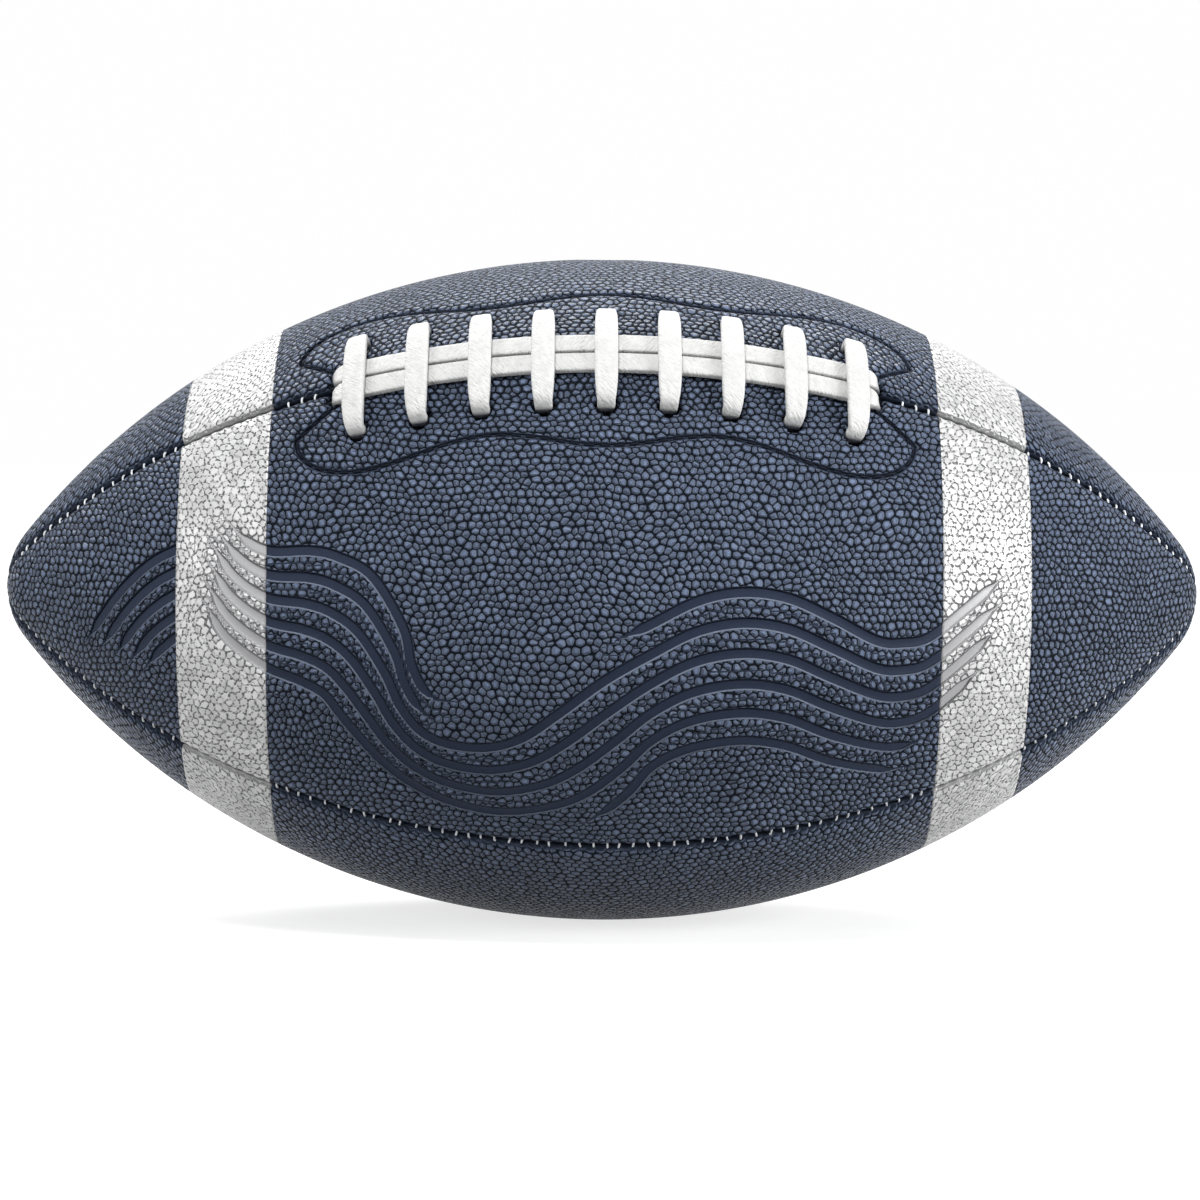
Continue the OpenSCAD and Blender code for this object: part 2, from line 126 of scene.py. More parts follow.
U_TURN_TWIST = 60
U_TURN_TWISTS = (U_TURN_TWIST, 90, U_TURN_TWIST)
BAR_STEPS = 44
UNDER_STEPS = 14
DIVE_STEPS = 12
STRAND_STEPS = 110
CORD_SIDES = 24
CORD_SIDE_POWER = 7
CORD_FACE_POWER = 3.4

# Facing's stitch line on both sides of the lace, its channel and the swelling beside that
FACING_MID = 24
FACING_WAIST = 20.2
FACING_HALF = 69
FACING_SWELL = 52.44
FACING_POINT_SHARE = 0.5
FACING_BACK_X = 59
FACING_BACK_ARC = 4
FACING_POINTS = 181
CHANNEL_D = 0.75
CHANNEL_REACH = 0.63
CHANNEL_STEP = 0.3
SWELLING_H = 0.16
SWELLING_AWAY = 2.4
SWELLING_W = 1.2

# Stitches in the channel: how high each lies over its floor and how far its ends sink
STITCH_LENGTH = 2.6
STITCH_SPACE = 0.7
STITCH_R = 0.3
STITCH_LIFT = 0.3
STITCH_SINK = 0.75
STITCH_SINK_POWER = 4
STITCH_POINTS = 9
STITCH_SIDES = 8
THREAD_END_POWER = 8
THREAD_END_SHARE = 0.12

# Ticks: the short stitches seen in a seam, each laid a little differently
TICK_R = 0.24
TICK_HALF = 1.15
TICK_LEAST_SHARE = 0.25
TICK_TOP = -0.75
TICK_SINK = 0.7
TICK_SINK_POWER = 3
TICK_STRAY = 0.45
TICK_LEAN = 0.3
TICK_LIFTS = (-0.25, 0.1)
TICKS_PAST_ARC = 8
TICKS_OFF_LACE = 4
TICKS_OFF_STRIPE = 0.5
TICK_POINTS = 7
TICK_SIDES = 7

# Valve in the middle of the top panel, and the leather that sinks towards a hole's rim
VALVE_R = 3.5
HOLE_DIP = 0.35
HOLE_DIP_FADE = 1.1
# Grid points as close to a hole's rim as this are moved onto it
RIM_REACH = 0.35

# Wave grooves pressed into the front panel: distance along the ball and arc above the
# panel's middle line, for the two guide lines of each bundle
GROOVE_EDGE = 1.15
GROOVE_D = 0.35
GROOVE_SOFT = 0.35
LONG_GUIDES = (
    ((-87.4, 12.3), (-82.5, 5.6), (-75, 1), (-66, -0.1), (-60, -2), (-54, -6.3), (-48.3, -15),
     (-45, -22.5), (-40.5, -28.5), (-34.5, -31.6), (-26, -32.3), (-18, -29.8), (-10, -23.8),
     (0, -16), (10, -10), (20, -4.9), (30, -3), (40, -4.3), (50, -8.7), (60, -13.4),
     (66, -14), (72, -12.6), (80, -6.5), (88.4, 0.5)),
    ((-89.1, -0.7), (-84.5, -8), (-75.5, -14.5), (-67.5, -17.6), (-62, -20.5), (-58.5, -25),
     (-54.5, -30.2), (-49, -36.8), (-42.5, -42.5), (-34, -47.3), (-23, -49.8), (-12, -48),
     (-4, -44.2), (4, -37), (10.5, -30), (19, -25.3), (30, -23.4), (40, -24.8), (50, -29.1),
     (60, -32.3), (66, -32.8), (72, -30.6), (79, -24.5), (86, -17.5)),
)
NOSE_GUIDES = (
    ((-118, -11), (-112, -2.3), (-107, 3.4), (-101.5, 8), (-96.6, 10.6), (-89, 13.8)),
    ((-103.5, -16.8), (-102, -14.7), (-100.5, -12.8), (-98.5, -11), (-96.6, -9.4), (-89, -4.5)),
)
# Share of the way between the guides, and the distances along the ball between which a line
# shows; the nose's lines run on under the stripe, where they aren't pressed
LONG_WAVES = (
    (-0.67, -83, -35), (-0.33, -85.5, -38), (-0.33, 3, 89), (0, -90, 90), (0.33, -90, 87),
    (0.67, -90, 83.5), (1, -90, 71), (1.33, -3, 67),
)
NOSE_WAVES = tuple((share, -120, -89) for share in (0, 0.25, 0.5, 0.75, 1))
WAVE_TAPER = 6
WAVE_STEP = 0.4
# A spot lies beyond a line's end if it is this much further off than its distance across
PAST_END = 1.1

# Steps of the skins' grids
ROW_COUNT = 560
FLAT_COLUMNS = 144
ROLL_COLUMNS = 8
INNER_ROWS = 56
INNER_COLUMNS = 18
FILM_STEP = 0.55

# A cover's marks are the distances to a wave's middle, to the stitch line and to the panel's
# edge, on their three axes, and they stop at this reach
MARK_REACH = 5.0
WAVE_AXIS, STITCH_AXIS, EDGE_AXIS = "XYZ"

# Grain: shift from panel to panel, bend and pitch in millimetres, and the rest in pitches
GRAIN_SHIFT = 400
GRAIN_BEND = (4.0, 4.0, 4.0)
PEBBLE_PITCH = 1.85
PEBBLE_ROW = math.sqrt(3)
PEBBLE_STRAY = 0.5
PEBBLE_SPREAD = 0.22
PEBBLE_CORNER = (0.10, 0.38, 0.0, 0.17)

# Ranges for the materials: from, to, and what comes out there if not 0 and 1. They read noise,
# a pebble's number, the distance from its edge in pebble widths, or a mark in millimetres.
NOISE = (0.3, 0.7)
LEATHER_DOME = (-0.06, 0.42)
LEATHER_GAP = (-0.05, 0.14, 1.0, 0.0)
FILM_PEBBLE = (-0.03, 0.16)
FILM_CREASE = (-0.02, 0.08, 1.0, 0.0)
FILM_PATCHES = (0.47, 0.59, 0.08, 1.0)
FILM_BY_WAVE = (2.0, 4.0, 0.9, 0.0)
# A pebble's shoulder, which gets a painted highlight
GLINT_UP = (0.05, 0.12)
GLINT_DOWN = (0.12, 0.22, 0.45, 0.0)
WAVE_CLEAR = (GROOVE_EDGE - 0.1, GROOVE_EDGE + 0.3)
WAVE_DIP = (GROOVE_EDGE - 0.3, GROOVE_EDGE + 0.15, -0.9, 0.0)
GROOVE_HIGHLIGHT_UP = (-GROOVE_EDGE - 0.28, -GROOVE_EDGE)
GROOVE_HIGHLIGHT_DOWN = (-GROOVE_EDGE, -GROOVE_EDGE + 0.25, 1.0, 0.0)
STITCH_CLEAR = (0.35, 0.8)
STITCH_DIP = (0.1, 0.6, -1.0, 0.0)
STITCH_SHADE = (0.25, 0.6, 0.85, 0.0)
SEAM_CLEAR = (0.2, 1.1)
HOLE_SHADE = (-0.2, 0.15, 1.0, 0.0)
PEBBLE_TONE = (0.0, 1.0, 0.84, 1.16)
BROAD_TONE = (*NOISE, 0.9, 1.1)
LACE_FOOT = (-1.0, 0.6, 0.95, 0.0)
LACE_STREAKS = (0.48, 0.68, 0.0, 0.45)

# Heights in shares of a bump's depth, and the roughness added in a gap
FINE_H = 0.05
PEBBLE_STEP = 0.15
CRACK_ROUGH = 0.35

# Looks of the two covers: linear colours, among them the painted shade and the painted highlight,
# and ranges for roughness and for the painted shade at a seam
HOLE_PAINTED_SHADE = (0.005, 0.006, 0.008)
NAVY_LOOK = {
    "colour": (0.080, 0.102, 0.156), "painted_shade": (0.001, 0.002, 0.004),
    "groove": (0.014, 0.019, 0.034), "painted_highlight": (0.22, 0.26, 0.34), "roughness": (0.24, 0.38),
    "seam_shade": (0.1, 0.9, 0.85, 0.0), "depth": 2.4,
    "shader": {"Specular_IOR_Level": 0.07, "Specular_Tint": (0.70, 0.82, 1.0)},
}
FILM_LOOK = {
    "colour": (0.62, 0.62, 0.62), "painted_shade": (0.11, 0.11, 0.115),
    "groove": (0.34, 0.34, 0.35), "painted_highlight": (0.62, 0.62, 0.62), "roughness": (0.36, 0.5),
    "seam_shade": (0.1, 0.5, 0.85, 0.0), "depth": 0.8, "shader": {"Metallic": 0.15},
}
LACE_WHITE = (0.43, 0.43, 0.425)
LACE_WORN = (0.385, 0.385, 0.38)
LACE_STREAK = (0.32, 0.32, 0.32)
LACE_SHADOW = (0.03, 0.035, 0.05)

# Camera, fitted to the photograph's outline of the ball
CAMERA_AWAY = 980.6
CAMERA_FOCUS_PIXELS = 4158.6
CAMERA_MIDDLE = (602.45, 589.48)
CAMERA_RISE = math.radians(3.17)
CAMERA_YAW = math.radians(0.45)
CAMERA_ROLL = math.radians(-0.46)
CAMERA_CLIP = (0.05, 20)
IMAGE = 1200
SENSOR = 36

# Floor: its glow grows from near the ball, where the shadow falls, to far, in metres
FLOOR_Z = -BALL_DIAMETER / 2
FLOOR_SIDE = 4000
FLOOR_GREYS = ((0.40, 0.40, 0.40), (0.43, 0.43, 0.43))
FLOOR_GLOW = (0.25, 0.9, 0.72, 1.0)

# World: the light it gives, and how bright it looks
WORLD_LIGHT = 0.12
WORLD_SEEN = 0.995

# Lamps: power, width and height, and place
LAMPS = {
    "key_softbox": (13, (0.3, 0.25), (-0.12, -0.45, 0.9)),
    "rim_softbox": (9, (1.0, 0.3), (-0.12, 0.55, 0.6)),
    "right_softbox": (18, (0.7, 0.6), (0.97, -0.38, 0.2)),
    "left_softbox": (5.3, (0.6, 0.5), (-0.8, -0.6, 0.2)),
}

ball_r = BALL_DIAMETER / 2
tip_middle = BALL_LENGTH / 2 - TIP_RADIUS
arc_r = (tip_middle ** 2 + ball_r ** 2 - TIP_RADIUS ** 2) / (2 * (ball_r - TIP_RADIUS))
arc_drop = arc_r - ball_r
arc_angle = math.atan2(tip_middle, arc_drop)
arc_length = arc_r * arc_angle
bar_reach = BAR_PITCH * (BAR_COUNT - 1) / 2
bar_places = [bar * BAR_PITCH - bar_reach for bar in range(BAR_COUNT)]
strand_arc = (LACE_W + STRAND_GAP) / 2
strand_rise = LACE_SEAT + LACE_T / 2
bar_rise = LACE_SEAT + 1.5 * LACE_T + STRAND_GAP


def meridian(along):
    """Distance along the ball, radius and tilt of the normal at an arc length from the middle."""
    along = np.asarray(along, float)
    far = np.abs(along)
    in_tip = far > arc_length
    tilt = np.where(in_tip, arc_angle + (far - arc_length) / TIP_RADIUS, far / arc_r)
    x = np.where(in_tip, tip_middle + TIP_RADIUS * np.sin(tilt), arc_r * np.sin(tilt))
    radius = np.where(in_tip, TIP_RADIUS * np.cos(tilt), arc_r * np.cos(tilt) - arc_drop)
    return np.sign(along) * x, radius, np.sign(along) * tilt


def arc_of(x):
    """Arc length from the middle of the ball at a distance along its axis."""
    x = np.asarray(x, float)
    return np.sign(x) * arc_r * np.arcsin(np.abs(x) / arc_r)


def place(along, turn, height):
    """Points at an arc length, a turn and a height over the surface."""
    x, radius, tilt = meridian(along)
    out = radius + height * np.cos(tilt)
    return np.stack([x + height * np.sin(tilt), out * np.sin(turn), -out * np.cos(turn)], -1)


def beside_seam(along, seam_turn, arc, height):
    """Points at an arc from a seam, positive towards growing turns."""
    radius = meridian(along)[1]
    return place(along, seam_turn + arc / radius, height)


def smooth(value, low, high):
    """0 up to low and 1 from high on, with a smooth rise in between."""
    share = np.clip((value - low) / (high - low), 0, 1)
    return share * share * (3 - 2 * share)


def eased(share, power):
    """A sine or cosine pushed towards 1 or -1, for a squarer bow or section."""
    return np.sign(share) * np.abs(share) ** (2 / power)


def unit(vectors):
    """Vectors of length 1."""
    return vectors / np.maximum(np.linalg.norm(vectors, axis=-1, keepdims=True), 1e-9)


def lengths(line):
    """Length of a line of straight stretches up to each point."""
    return np.concatenate([[0], np.cumsum(np.linalg.norm(np.diff(line, axis=0), axis=1))])


def slot_half(radius, along=0):
    """Half width of the slot between two panels, which closes at the tips and in the stripes."""
    far = np.abs(meridian(along)[0])
    before = smooth(far, STRIPE_NEAR - STRIPE_SLOT_FADE, STRIPE_NEAR)
    after = smooth(far, STRIPE_FAR, STRIPE_FAR + STRIPE_SLOT_FADE)
    width = TIP_SLOT_HALF + (SLOT_HALF - TIP_SLOT_HALF) * smooth(radius, 0, SLOT_TAPER_R)
    return width * (1 - STRIPE_SLOT_CUT * before * (1 - after))


def panel_half(radius, along):
    """Half width of a panel, up to the slot."""
    return radius * math.pi / 4 - slot_half(radius, along)


def mesh_piece(name, points, faces, material, flat=False):
    """A mesh object from points in millimetres."""
    mesh = bpy.data.meshes.new(name)
    mesh.from_pydata((np.asarray(points) * MM).tolist(), [], faces)
    mesh.update()
    if not flat:
        mesh.polygons.foreach_set("use_smooth", [True] * len(mesh.polygons))
    mesh.materials.append(material)
    piece = bpy.data.objects.new(name, mesh)
    bpy.context.scene.collection.objects.link(piece)
    return piece


def add_marks(piece, name, values):
    """A vector or a number for each point, which the materials read by name."""
    values = np.asarray(values, np.float32)
    kind, field = ("FLOAT_VECTOR", "vector") if values.ndim == 2 else ("FLOAT", "value")
    attribute = piece.data.attributes.new(name, kind, "POINT")
    attribute.data.foreach_set(field, values.ravel())


def spline(points, step):
    """Points about a step apart on a smooth curve through the given ones."""
    points = np.asarray(points, float)
    padded = np.vstack([2 * points[0] - points[1], points, 2 * points[-1] - points[-2]])
    curve = []
    for before, a, b, after in zip(padded, padded[1:], padded[2:], padded[3:]):
        count = max(2, int(np.linalg.norm(b - a) / step))
        t = np.linspace(0, 1, count, endpoint=False)[:, None]
        curve.append(0.5 * (2 * a + (b - before) * t + (2 * before - 5 * a + 4 * b - after) * t ** 2
                            + (3 * a - before - 3 * b + after) * t ** 3))
    return np.vstack(curve + [points[-1:]])


def line_field(lines, points):
    """Distance of each point to the nearest line, signed by side, and how far its end is."""
    normals, ends = [], []
    for line in lines:
        normal = np.gradient(line, axis=0)[:, ::-1] * (-1, 1)
        normals.append(normal / np.linalg.norm(normal, axis=1)[:, None])
        length = lengths(line)
        ends.append(np.minimum(length, length[-1] - length))
    spots, normals, ends = np.vstack(lines), np.vstack(normals), np.concatenate(ends)
    tree = KDTree(len(spots))
    for index, (x, y) in enumerate(spots):
        tree.insert((x, y, 0), index)
    tree.balance()
    distance = np.full(len(points), MARK_REACH)
    end_away = np.full(len(points), MARK_REACH)
    low, high = spots.min(0) - MARK_REACH, spots.max(0) + MARK_REACH
    for i in np.nonzero(((points > low) & (points < high)).all(1))[0]:
        _, index, away = tree.find((*points[i], 0))
        if away < MARK_REACH:
            across = (points[i] - spots[index]) @ normals[index]
            beyond = ends[index] == 0 and away > PAST_END * abs(across)
            distance[i] = math.copysign(away if beyond else abs(across), across)
            end_away[i] = ends[index]
    return distance, end_away


def strip(one, other):
    """Triangles between two rows of point numbers of unequal counts."""
    faces, i, j = [], 0, 0
    ones, others = len(one) - 1, len(other) - 1
    while i < ones or j < others:
        if j == others or (i < ones and (i + 1) * others <= (j + 1) * ones):
            faces.append((one[i], one[i + 1], other[j]))
            i += 1
        else:
            faces.append((one[i], other[j + 1], other[j]))
            j += 1
    return faces


def quads(numbers):
    """Faces of a grid of point numbers."""
    a, b = numbers[:-1, :-1], numbers[1:, :-1]
    c, d = numbers[1:, 1:], numbers[:-1, 1:]
    return np.stack([a, b, c, d], -1).reshape(-1, 4).tolist()


def shell(outer, inner):
    """Points and faces of a closed shell between an outer grid and a coarser inner one."""
    rows, columns = outer.shape[:2]
    inner_rows, inner_columns = inner.shape[:2]
    over = np.arange(rows * columns).reshape(rows, columns)
    under = rows * columns + np.arange(inner_rows * inner_columns).reshape(inner_rows, -1)
    faces = [face[::-1] for face in quads(over)] + quads(under)
    faces += strip(under[0].tolist(), over[0].tolist())
    faces += strip(over[-1].tolist(), under[-1].tolist())
    faces += strip(over[:, 0].tolist(), under[:, 0].tolist())
    faces += strip(under[:, -1].tolist(), over[:, -1].tolist())
    return np.vstack([outer.reshape(-1, 3), inner.reshape(-1, 3)]), faces


def facing_line(x):
    """Distance of the facing's stitch line from the laced seam."""
    wave = (FACING_MID - FACING_WAIST) / 2
    x = np.abs(np.asarray(x, float))
    middle = FACING_WAIST + wave + wave * np.cos(2 * math.pi * x / FACING_SWELL)
    rest = np.clip(1 - ((x - FACING_SWELL) / (FACING_HALF - FACING_SWELL)) ** 2, 0, 1)
    end = FACING_MID * (FACING_POINT_SHARE + (1 - FACING_POINT_SHARE) * np.sqrt(rest))
    return np.where(x < FACING_SWELL, middle, end)


def stitch_route():
    """Stitch line as (arc length along the ball, arc from the laced seam), end to end."""
    x = FACING_HALF * np.sin(np.linspace(-math.pi / 2, math.pi / 2, FACING_POINTS))
    line = np.stack([arc_of(x), facing_line(x)], 1)
    back = [arc_of(FACING_BACK_X), FACING_BACK_ARC]
    return np.vstack([[-back[0], back[1]], line, back])


def even_steps(line, step):
    """Points a step apart on a line of straight stretches."""
    length = lengths(line)
    at = np.linspace(0, length[-1], max(2, round(length[-1] / step) + 1))
    return np.stack([np.interp(at, length, line[:, k]) for k in range(line.shape[1])], 1)


def wave_lines(guides, waves):
    """Centre lines of a bundle's grooves, as arc length along the ball and arc above the middle."""
    one, other = np.asarray(guides, float)
    lines = []
    for share, start, end in waves:
        line = spline(one * (1 - share) + other * share, WAVE_STEP)
        line = line[(line[:, 0] >= start) & (line[:, 0] <= end)]
        lines.append(np.stack([arc_of(line[:, 0]), line[:, 1]], 1))
    return lines


def lace_hole_spots():
    """Arc length along the ball, arc from the laced seam and radius of each lace hole."""
    return [(arc_of(x), HOLE_OFFSET, HOLE_R) for x in bar_places] + [
        (arc_of(x), EYELET_OFFSET, EYELET_R) for x in (-EYELET_X, EYELET_X)]


def panel_grid(along, lift):
    """Arc from the panel's middle and height of each point of a skin's grid."""
    half = panel_half(meridian(along)[1][:, None], along[:, None])
    roll_w = np.minimum(ROLL_W, ROLL_SHARE * half)
    roll_d = np.minimum(ROLL_D, ROLL_SHARE * half)
    angle = np.linspace(0, math.pi / 2, ROLL_COLUMNS + 1)[None, 1:]
    flat_arc = np.linspace(-1, 1, FLAT_COLUMNS + 1) * (half - roll_w)
    side_arc = half - roll_w * (1 - np.sin(angle))
    side_down = -roll_d * (1 - np.cos(angle))
    wall_down = -np.minimum(RIM_DEPTH, half + roll_d)
    arc = np.hstack([-half, -side_arc[:, ::-1], flat_arc, side_arc, half])
    down = np.hstack([wall_down, side_down[:, ::-1], 0 * flat_arc, side_down, wall_down])
    return arc, down + lift, half


def pucker(along, edge):
    """Small folds where the seam's stitches draw the panel's edge in."""
    drift = PUCKER_DRIFT * np.sin(along / PUCKER_DRIFT_RUN)
    fold = np.cos(2 * math.pi * along / PUCKER_PITCH + drift)
    return PUCKER_H * fold * np.clip(1 - edge / PUCKER_REACH, 0, 1) ** PUCKER_FADE_POWER


def wave_marks(points):
    """Distance to the nearest wave groove's middle line, further where the groove tapers out."""
    # Growing turns run downwards on the front panel, and the grooves' arcs run upwards.
    points = points * (1, -1)
    wave, end_away = line_field(wave_lines(LONG_GUIDES, LONG_WAVES), points)
    on_nose, nose_away = line_field(wave_lines(NOSE_GUIDES, NOSE_WAVES), points)
    nose = points[:, 0] < -arc_of(STRIPE_FAR)
    wave, end_away = np.where(nose, on_nose, wave), np.where(nose, nose_away, end_away)
    inward = GROOVE_EDGE * (1 - smooth(end_away, 0, WAVE_TAPER))
    return np.sign(wave) * np.minimum(MARK_REACH, np.abs(wave) + inward)


def groove(wave):
    """Height of a groove with a flat floor at a distance from its centre line."""
    off_edge = np.abs(wave) - GROOVE_EDGE
    return -GROOVE_D * (1 - smooth(off_edge, -GROOVE_SOFT, GROOVE_SOFT))


def channel(stitch):
    """Height of the stitches' channel and of the leather that swells beside it."""
    dip = CHANNEL_D * np.exp(-(stitch / CHANNEL_REACH) ** 2)
    return SWELLING_H * np.exp(-((np.abs(stitch) - SWELLING_AWAY) / SWELLING_W) ** 2) - dip


def hole_marks(panel, points, beside):
    """Distance outside the rim of the nearest lace hole or of the valve's hole."""
    pit = np.full(len(points), MARK_REACH)
    if panel in LACED_PANELS:
        for spot_along, spot_arc, radius in lace_hole_spots():
            away = np.hypot(beside[:, 0] - spot_along, beside[:, 1] - spot_arc)
            pit = np.minimum(pit, away - radius)
    if panel == "top":
        pit = np.minimum(pit, np.hypot(points[:, 0], points[:, 1]) - VALVE_R)
    return pit


def panel_relief(panel, along, arc, half):
    """Height added to a panel's grid, and the marks that its material reads."""
    along = np.broadcast_to(along[:, None], arc.shape)
    edge = np.clip(half - np.abs(arc), 0, None)
    points = np.stack([along.ravel(), arc.ravel()], 1)
    from_lace = meridian(along)[1] * math.pi / 4 + LACED_PANELS.get(panel, 1) * arc
    beside = np.stack([along.ravel(), from_lace.ravel()], 1)
    height = pucker(along, edge).ravel()
    wave = np.full(arc.size, MARK_REACH)
    stitch = np.full(arc.size, MARK_REACH)
    if panel == "front":
        wave = wave_marks(points)
        height = height + groove(wave)
    if panel in LACED_PANELS:
        stitch, _ = line_field([even_steps(stitch_route(), CHANNEL_STEP)], beside)
        height = height + channel(stitch)
    pit = hole_marks(panel, points, beside)
    dip = HOLE_DIP * np.exp(-np.clip(pit, 0, None) / HOLE_DIP_FADE) * (pit < MARK_REACH)
    # Inside a hole the skin drops to a floor near the cover's inner side, which closes it; the
    # material gives that floor a painted shade.
    height = np.where(pit < 0, -(COVER_T - FILM_GAP), height - dip)
    return height.reshape(arc.shape), np.stack([wave, stitch, edge.ravel()], 1), pit


def snap_to_holes(panel, along, arc):
    """Moves grid points next to a hole's rim onto it, so that the rim is round."""
    holes = []
    if panel in LACED_PANELS:
        for spot_along, spot_arc, size in lace_hole_spots():
            quarter = meridian(spot_along)[1] * math.pi / 4
            holes.append((spot_along, LACED_PANELS[panel] * (spot_arc - quarter), size))
    if panel == "top":
        holes.append((0.0, 0.0, VALVE_R))
    along = np.repeat(along[:, None], arc.shape[1], 1)
    for middle_along, middle_arc, size in holes:
        off_along, off_arc = along - middle_along, arc - middle_arc
        away = np.hypot(off_along, off_arc)
        near = np.abs(away - size) < RIM_REACH
        scale = size / np.maximum(away, RIM_REACH)
        along = np.where(near, middle_along + off_along * scale, along)
        arc = np.where(near, middle_arc + off_arc * scale, arc)
    return along, arc


def panel_rows():
    """Arc lengths of a panel skin's rows, close together on both sides of a stripe's edge."""
    end = arc_length + TIP_RADIUS * (math.pi / 2 - arc_angle) - TIP_OPENING
    near, far = arc_of(STRIPE_NEAR), arc_of(STRIPE_FAR)
    marks = [0, near - FILM_GAP, near, far, far + FILM_GAP, end]
    stretches = []
    for low, high in zip(marks, marks[1:]):
        count = max(1, round((high - low) / end * ROW_COUNT / 2))
        stretches.append(np.linspace(low, high, count + 1)[:-1])
    half = np.concatenate(stretches + [[end]])
    return np.concatenate([-half[:0:-1], half])


def panel_inside(panel, along):
    """Coarse grid of a panel's inner side, with a rim turned in along its seams."""
    along = along[np.linspace(0, len(along) - 1, INNER_ROWS + 1).astype(int)][:, None]
    radius = meridian(along)[1]
    half = panel_half(radius, along)
    rim = np.minimum(RIM_WIDTH, RIM_SHARE * half)
    rim_down = np.minimum(RIM_DEPTH, half + np.minimum(ROLL_D, ROLL_SHARE * half))
    inside = np.linspace(-1, 1, INNER_COLUMNS + 1) * (half - rim)
    arc = np.hstack([-half + RIM_SLOPE * rim, -half + rim, inside, half - rim,
                     half - RIM_SLOPE * rim])
    flat_down = np.minimum(COVER_T, rim_down - RIM_LEAST_STEP) + 0 * inside
    down = np.hstack([rim_down, rim_down, flat_down, rim_down, rim_down])
    return place(np.repeat(along, arc.shape[1], 1), PANELS[panel] + arc / radius, -down)


def filled(marks, count):
    """Marks for a count of points, the added ones far from everything."""
    return np.concatenate([marks, np.full((count - len(marks), *marks.shape[1:]), MARK_REACH)])


def grain_spots(panel, along, arc, count):
    """Places in the grain's pattern for a count of points, different on each panel."""
    spots = np.zeros((count, 3))
    shift = list(PANELS).index(panel) * GRAIN_SHIFT
    spots[:arc.size, 0] = np.repeat(along + shift, arc.shape[1])
    spots[:arc.size, 1] = arc.ravel()
    return spots


def panel_skin(panel, material):
    """Closed shell of one cover panel with rolled edges, grooves, channel and holes."""
    along = panel_rows()
    x = np.abs(meridian(along)[0])
    in_stripe = (x >= STRIPE_NEAR - 1e-6) & (x <= STRIPE_FAR + 1e-6)
    arc, base, half = panel_grid(along, -(FILM_T + FILM_GAP) * in_stripe[:, None])
    relief, marks, pit = panel_relief(panel, along, arc, half)
    spot_along, spot_arc = snap_to_holes(panel, along, arc)
    turn = PANELS[panel] + spot_arc / meridian(spot_along)[1]
    points, faces = shell(place(spot_along, turn, base + relief), panel_inside(panel, along))
    piece = mesh_piece(panel + "_cover_skin", points, faces, material)
    add_marks(piece, "grain", grain_spots(panel, along, arc, len(points)))
    add_marks(piece, "marks", filled(marks, len(points)))
    add_marks(piece, "pit", filled(pit, len(points)))
    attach(piece, "root")
    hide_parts(panel + "_panel")


def stripe_film(side_name, side, material):
    """Silver film of one stripe: a thin closed piece on each of the four panels."""
    near, far = arc_of(STRIPE_NEAR) + FILM_GAP, arc_of(STRIPE_FAR) - FILM_GAP
    along = np.sort(side * np.linspace(near, far, round((far - near) / FILM_STEP) + 1))
    all_points, all_faces, all_grain, all_marks = [], [], [], []
    for panel in PANELS:
        arc, base, half = panel_grid(along, 0)
        arc, base = arc[:, 1:-1], base[:, 1:-1]
        relief, marks, _ = panel_relief(panel, along, arc, half)
        along_grid = np.repeat(along[:, None], arc.shape[1], 1)
        turn = PANELS[panel] + arc / meridian(along)[1][:, None]
        points, faces = shell(place(along_grid, turn, base + relief),
                              place(along_grid, turn, base + relief - FILM_T))
        start = sum(len(p) for p in all_points)
        all_points.append(points)
        all_faces += [tuple(start + k for k in face) for face in faces]
        all_grain.append(grain_spots(panel, along, arc, len(points)))
        all_marks.append(filled(marks, len(points)))
    piece = mesh_piece(side_name + "_stripe_film", np.vstack(all_points), all_faces, material)
    add_marks(piece, "grain", np.vstack(all_grain))
    add_marks(piece, "marks", np.vstack(all_marks))
    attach(piece, "root")
    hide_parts(side_name + "_stripe")


def arch(start, end, base, crown, power, steps, twists):
    """Stations of a bowed stretch: along the ball, arc from the seam, height, twist, pinch."""
    stations = []
    for step in range(steps + 1):
        along = eased(-math.cos(math.pi * step / steps), power)
        rise = eased(math.sin(math.pi * step / steps), power)
        early, late = max(0, 1 - 2 * step / steps), max(0, 2 * step / steps - 1)
        twist = twists[1] + early * (twists[0] - twists[1]) + late * (twists[2] - twists[1])
        x, arc = [(a + b + along * (b - a)) / 2 for a, b in zip(start, end)]
        stations.append((x, arc, base + (crown - base) * rise, twist, abs(along) ** PINCH_POWER))
    return stations


def crossbar(x):
    """Bar over both strands, from the hole on the top panel to the one on the front panel."""
    return arch((x, -HOLE_OFFSET), (x, HOLE_OFFSET), 0, bar_rise, BAR_BEND, BAR_STEPS, BAR_TWISTS)


def under_run(start, end, twists):
    """Hidden stretch under the cover from one hole to another."""
    return arch(start, end, -HOLE_STRAIGHT, -UNDER_MIDDLE, BAR_BEND, UNDER_STEPS, twists)


def dive(end, arc, twist):
    """Bend of a strand down into the hole at its end, left (-1) or right (1)."""
    stations = []
    for step in range(DIVE_STEPS + 1):
        angle = math.pi / 2 * step / DIVE_STEPS
        x = DIVE_X - STRAND_TURN + STRAND_TURN * eased(math.sin(angle), DIVE_BEND)
        height = strand_rise - (strand_rise + DIVE_DROP) * (1 - eased(math.cos(angle), DIVE_BEND))
        pinch = min(1, max(0, (strand_rise - height) / strand_rise))
        stations.append((end * x, arc, height, twist * max(0, -height) / HOLE_STRAIGHT, pinch))
    return stations


def strand(start, end, arc):
    """Straight stretch on the leather beside the seam."""
    return [(start + (end - start) * step / STRAND_STEPS, arc, strand_rise, 0, 0)
            for step in range(1, STRAND_STEPS)]


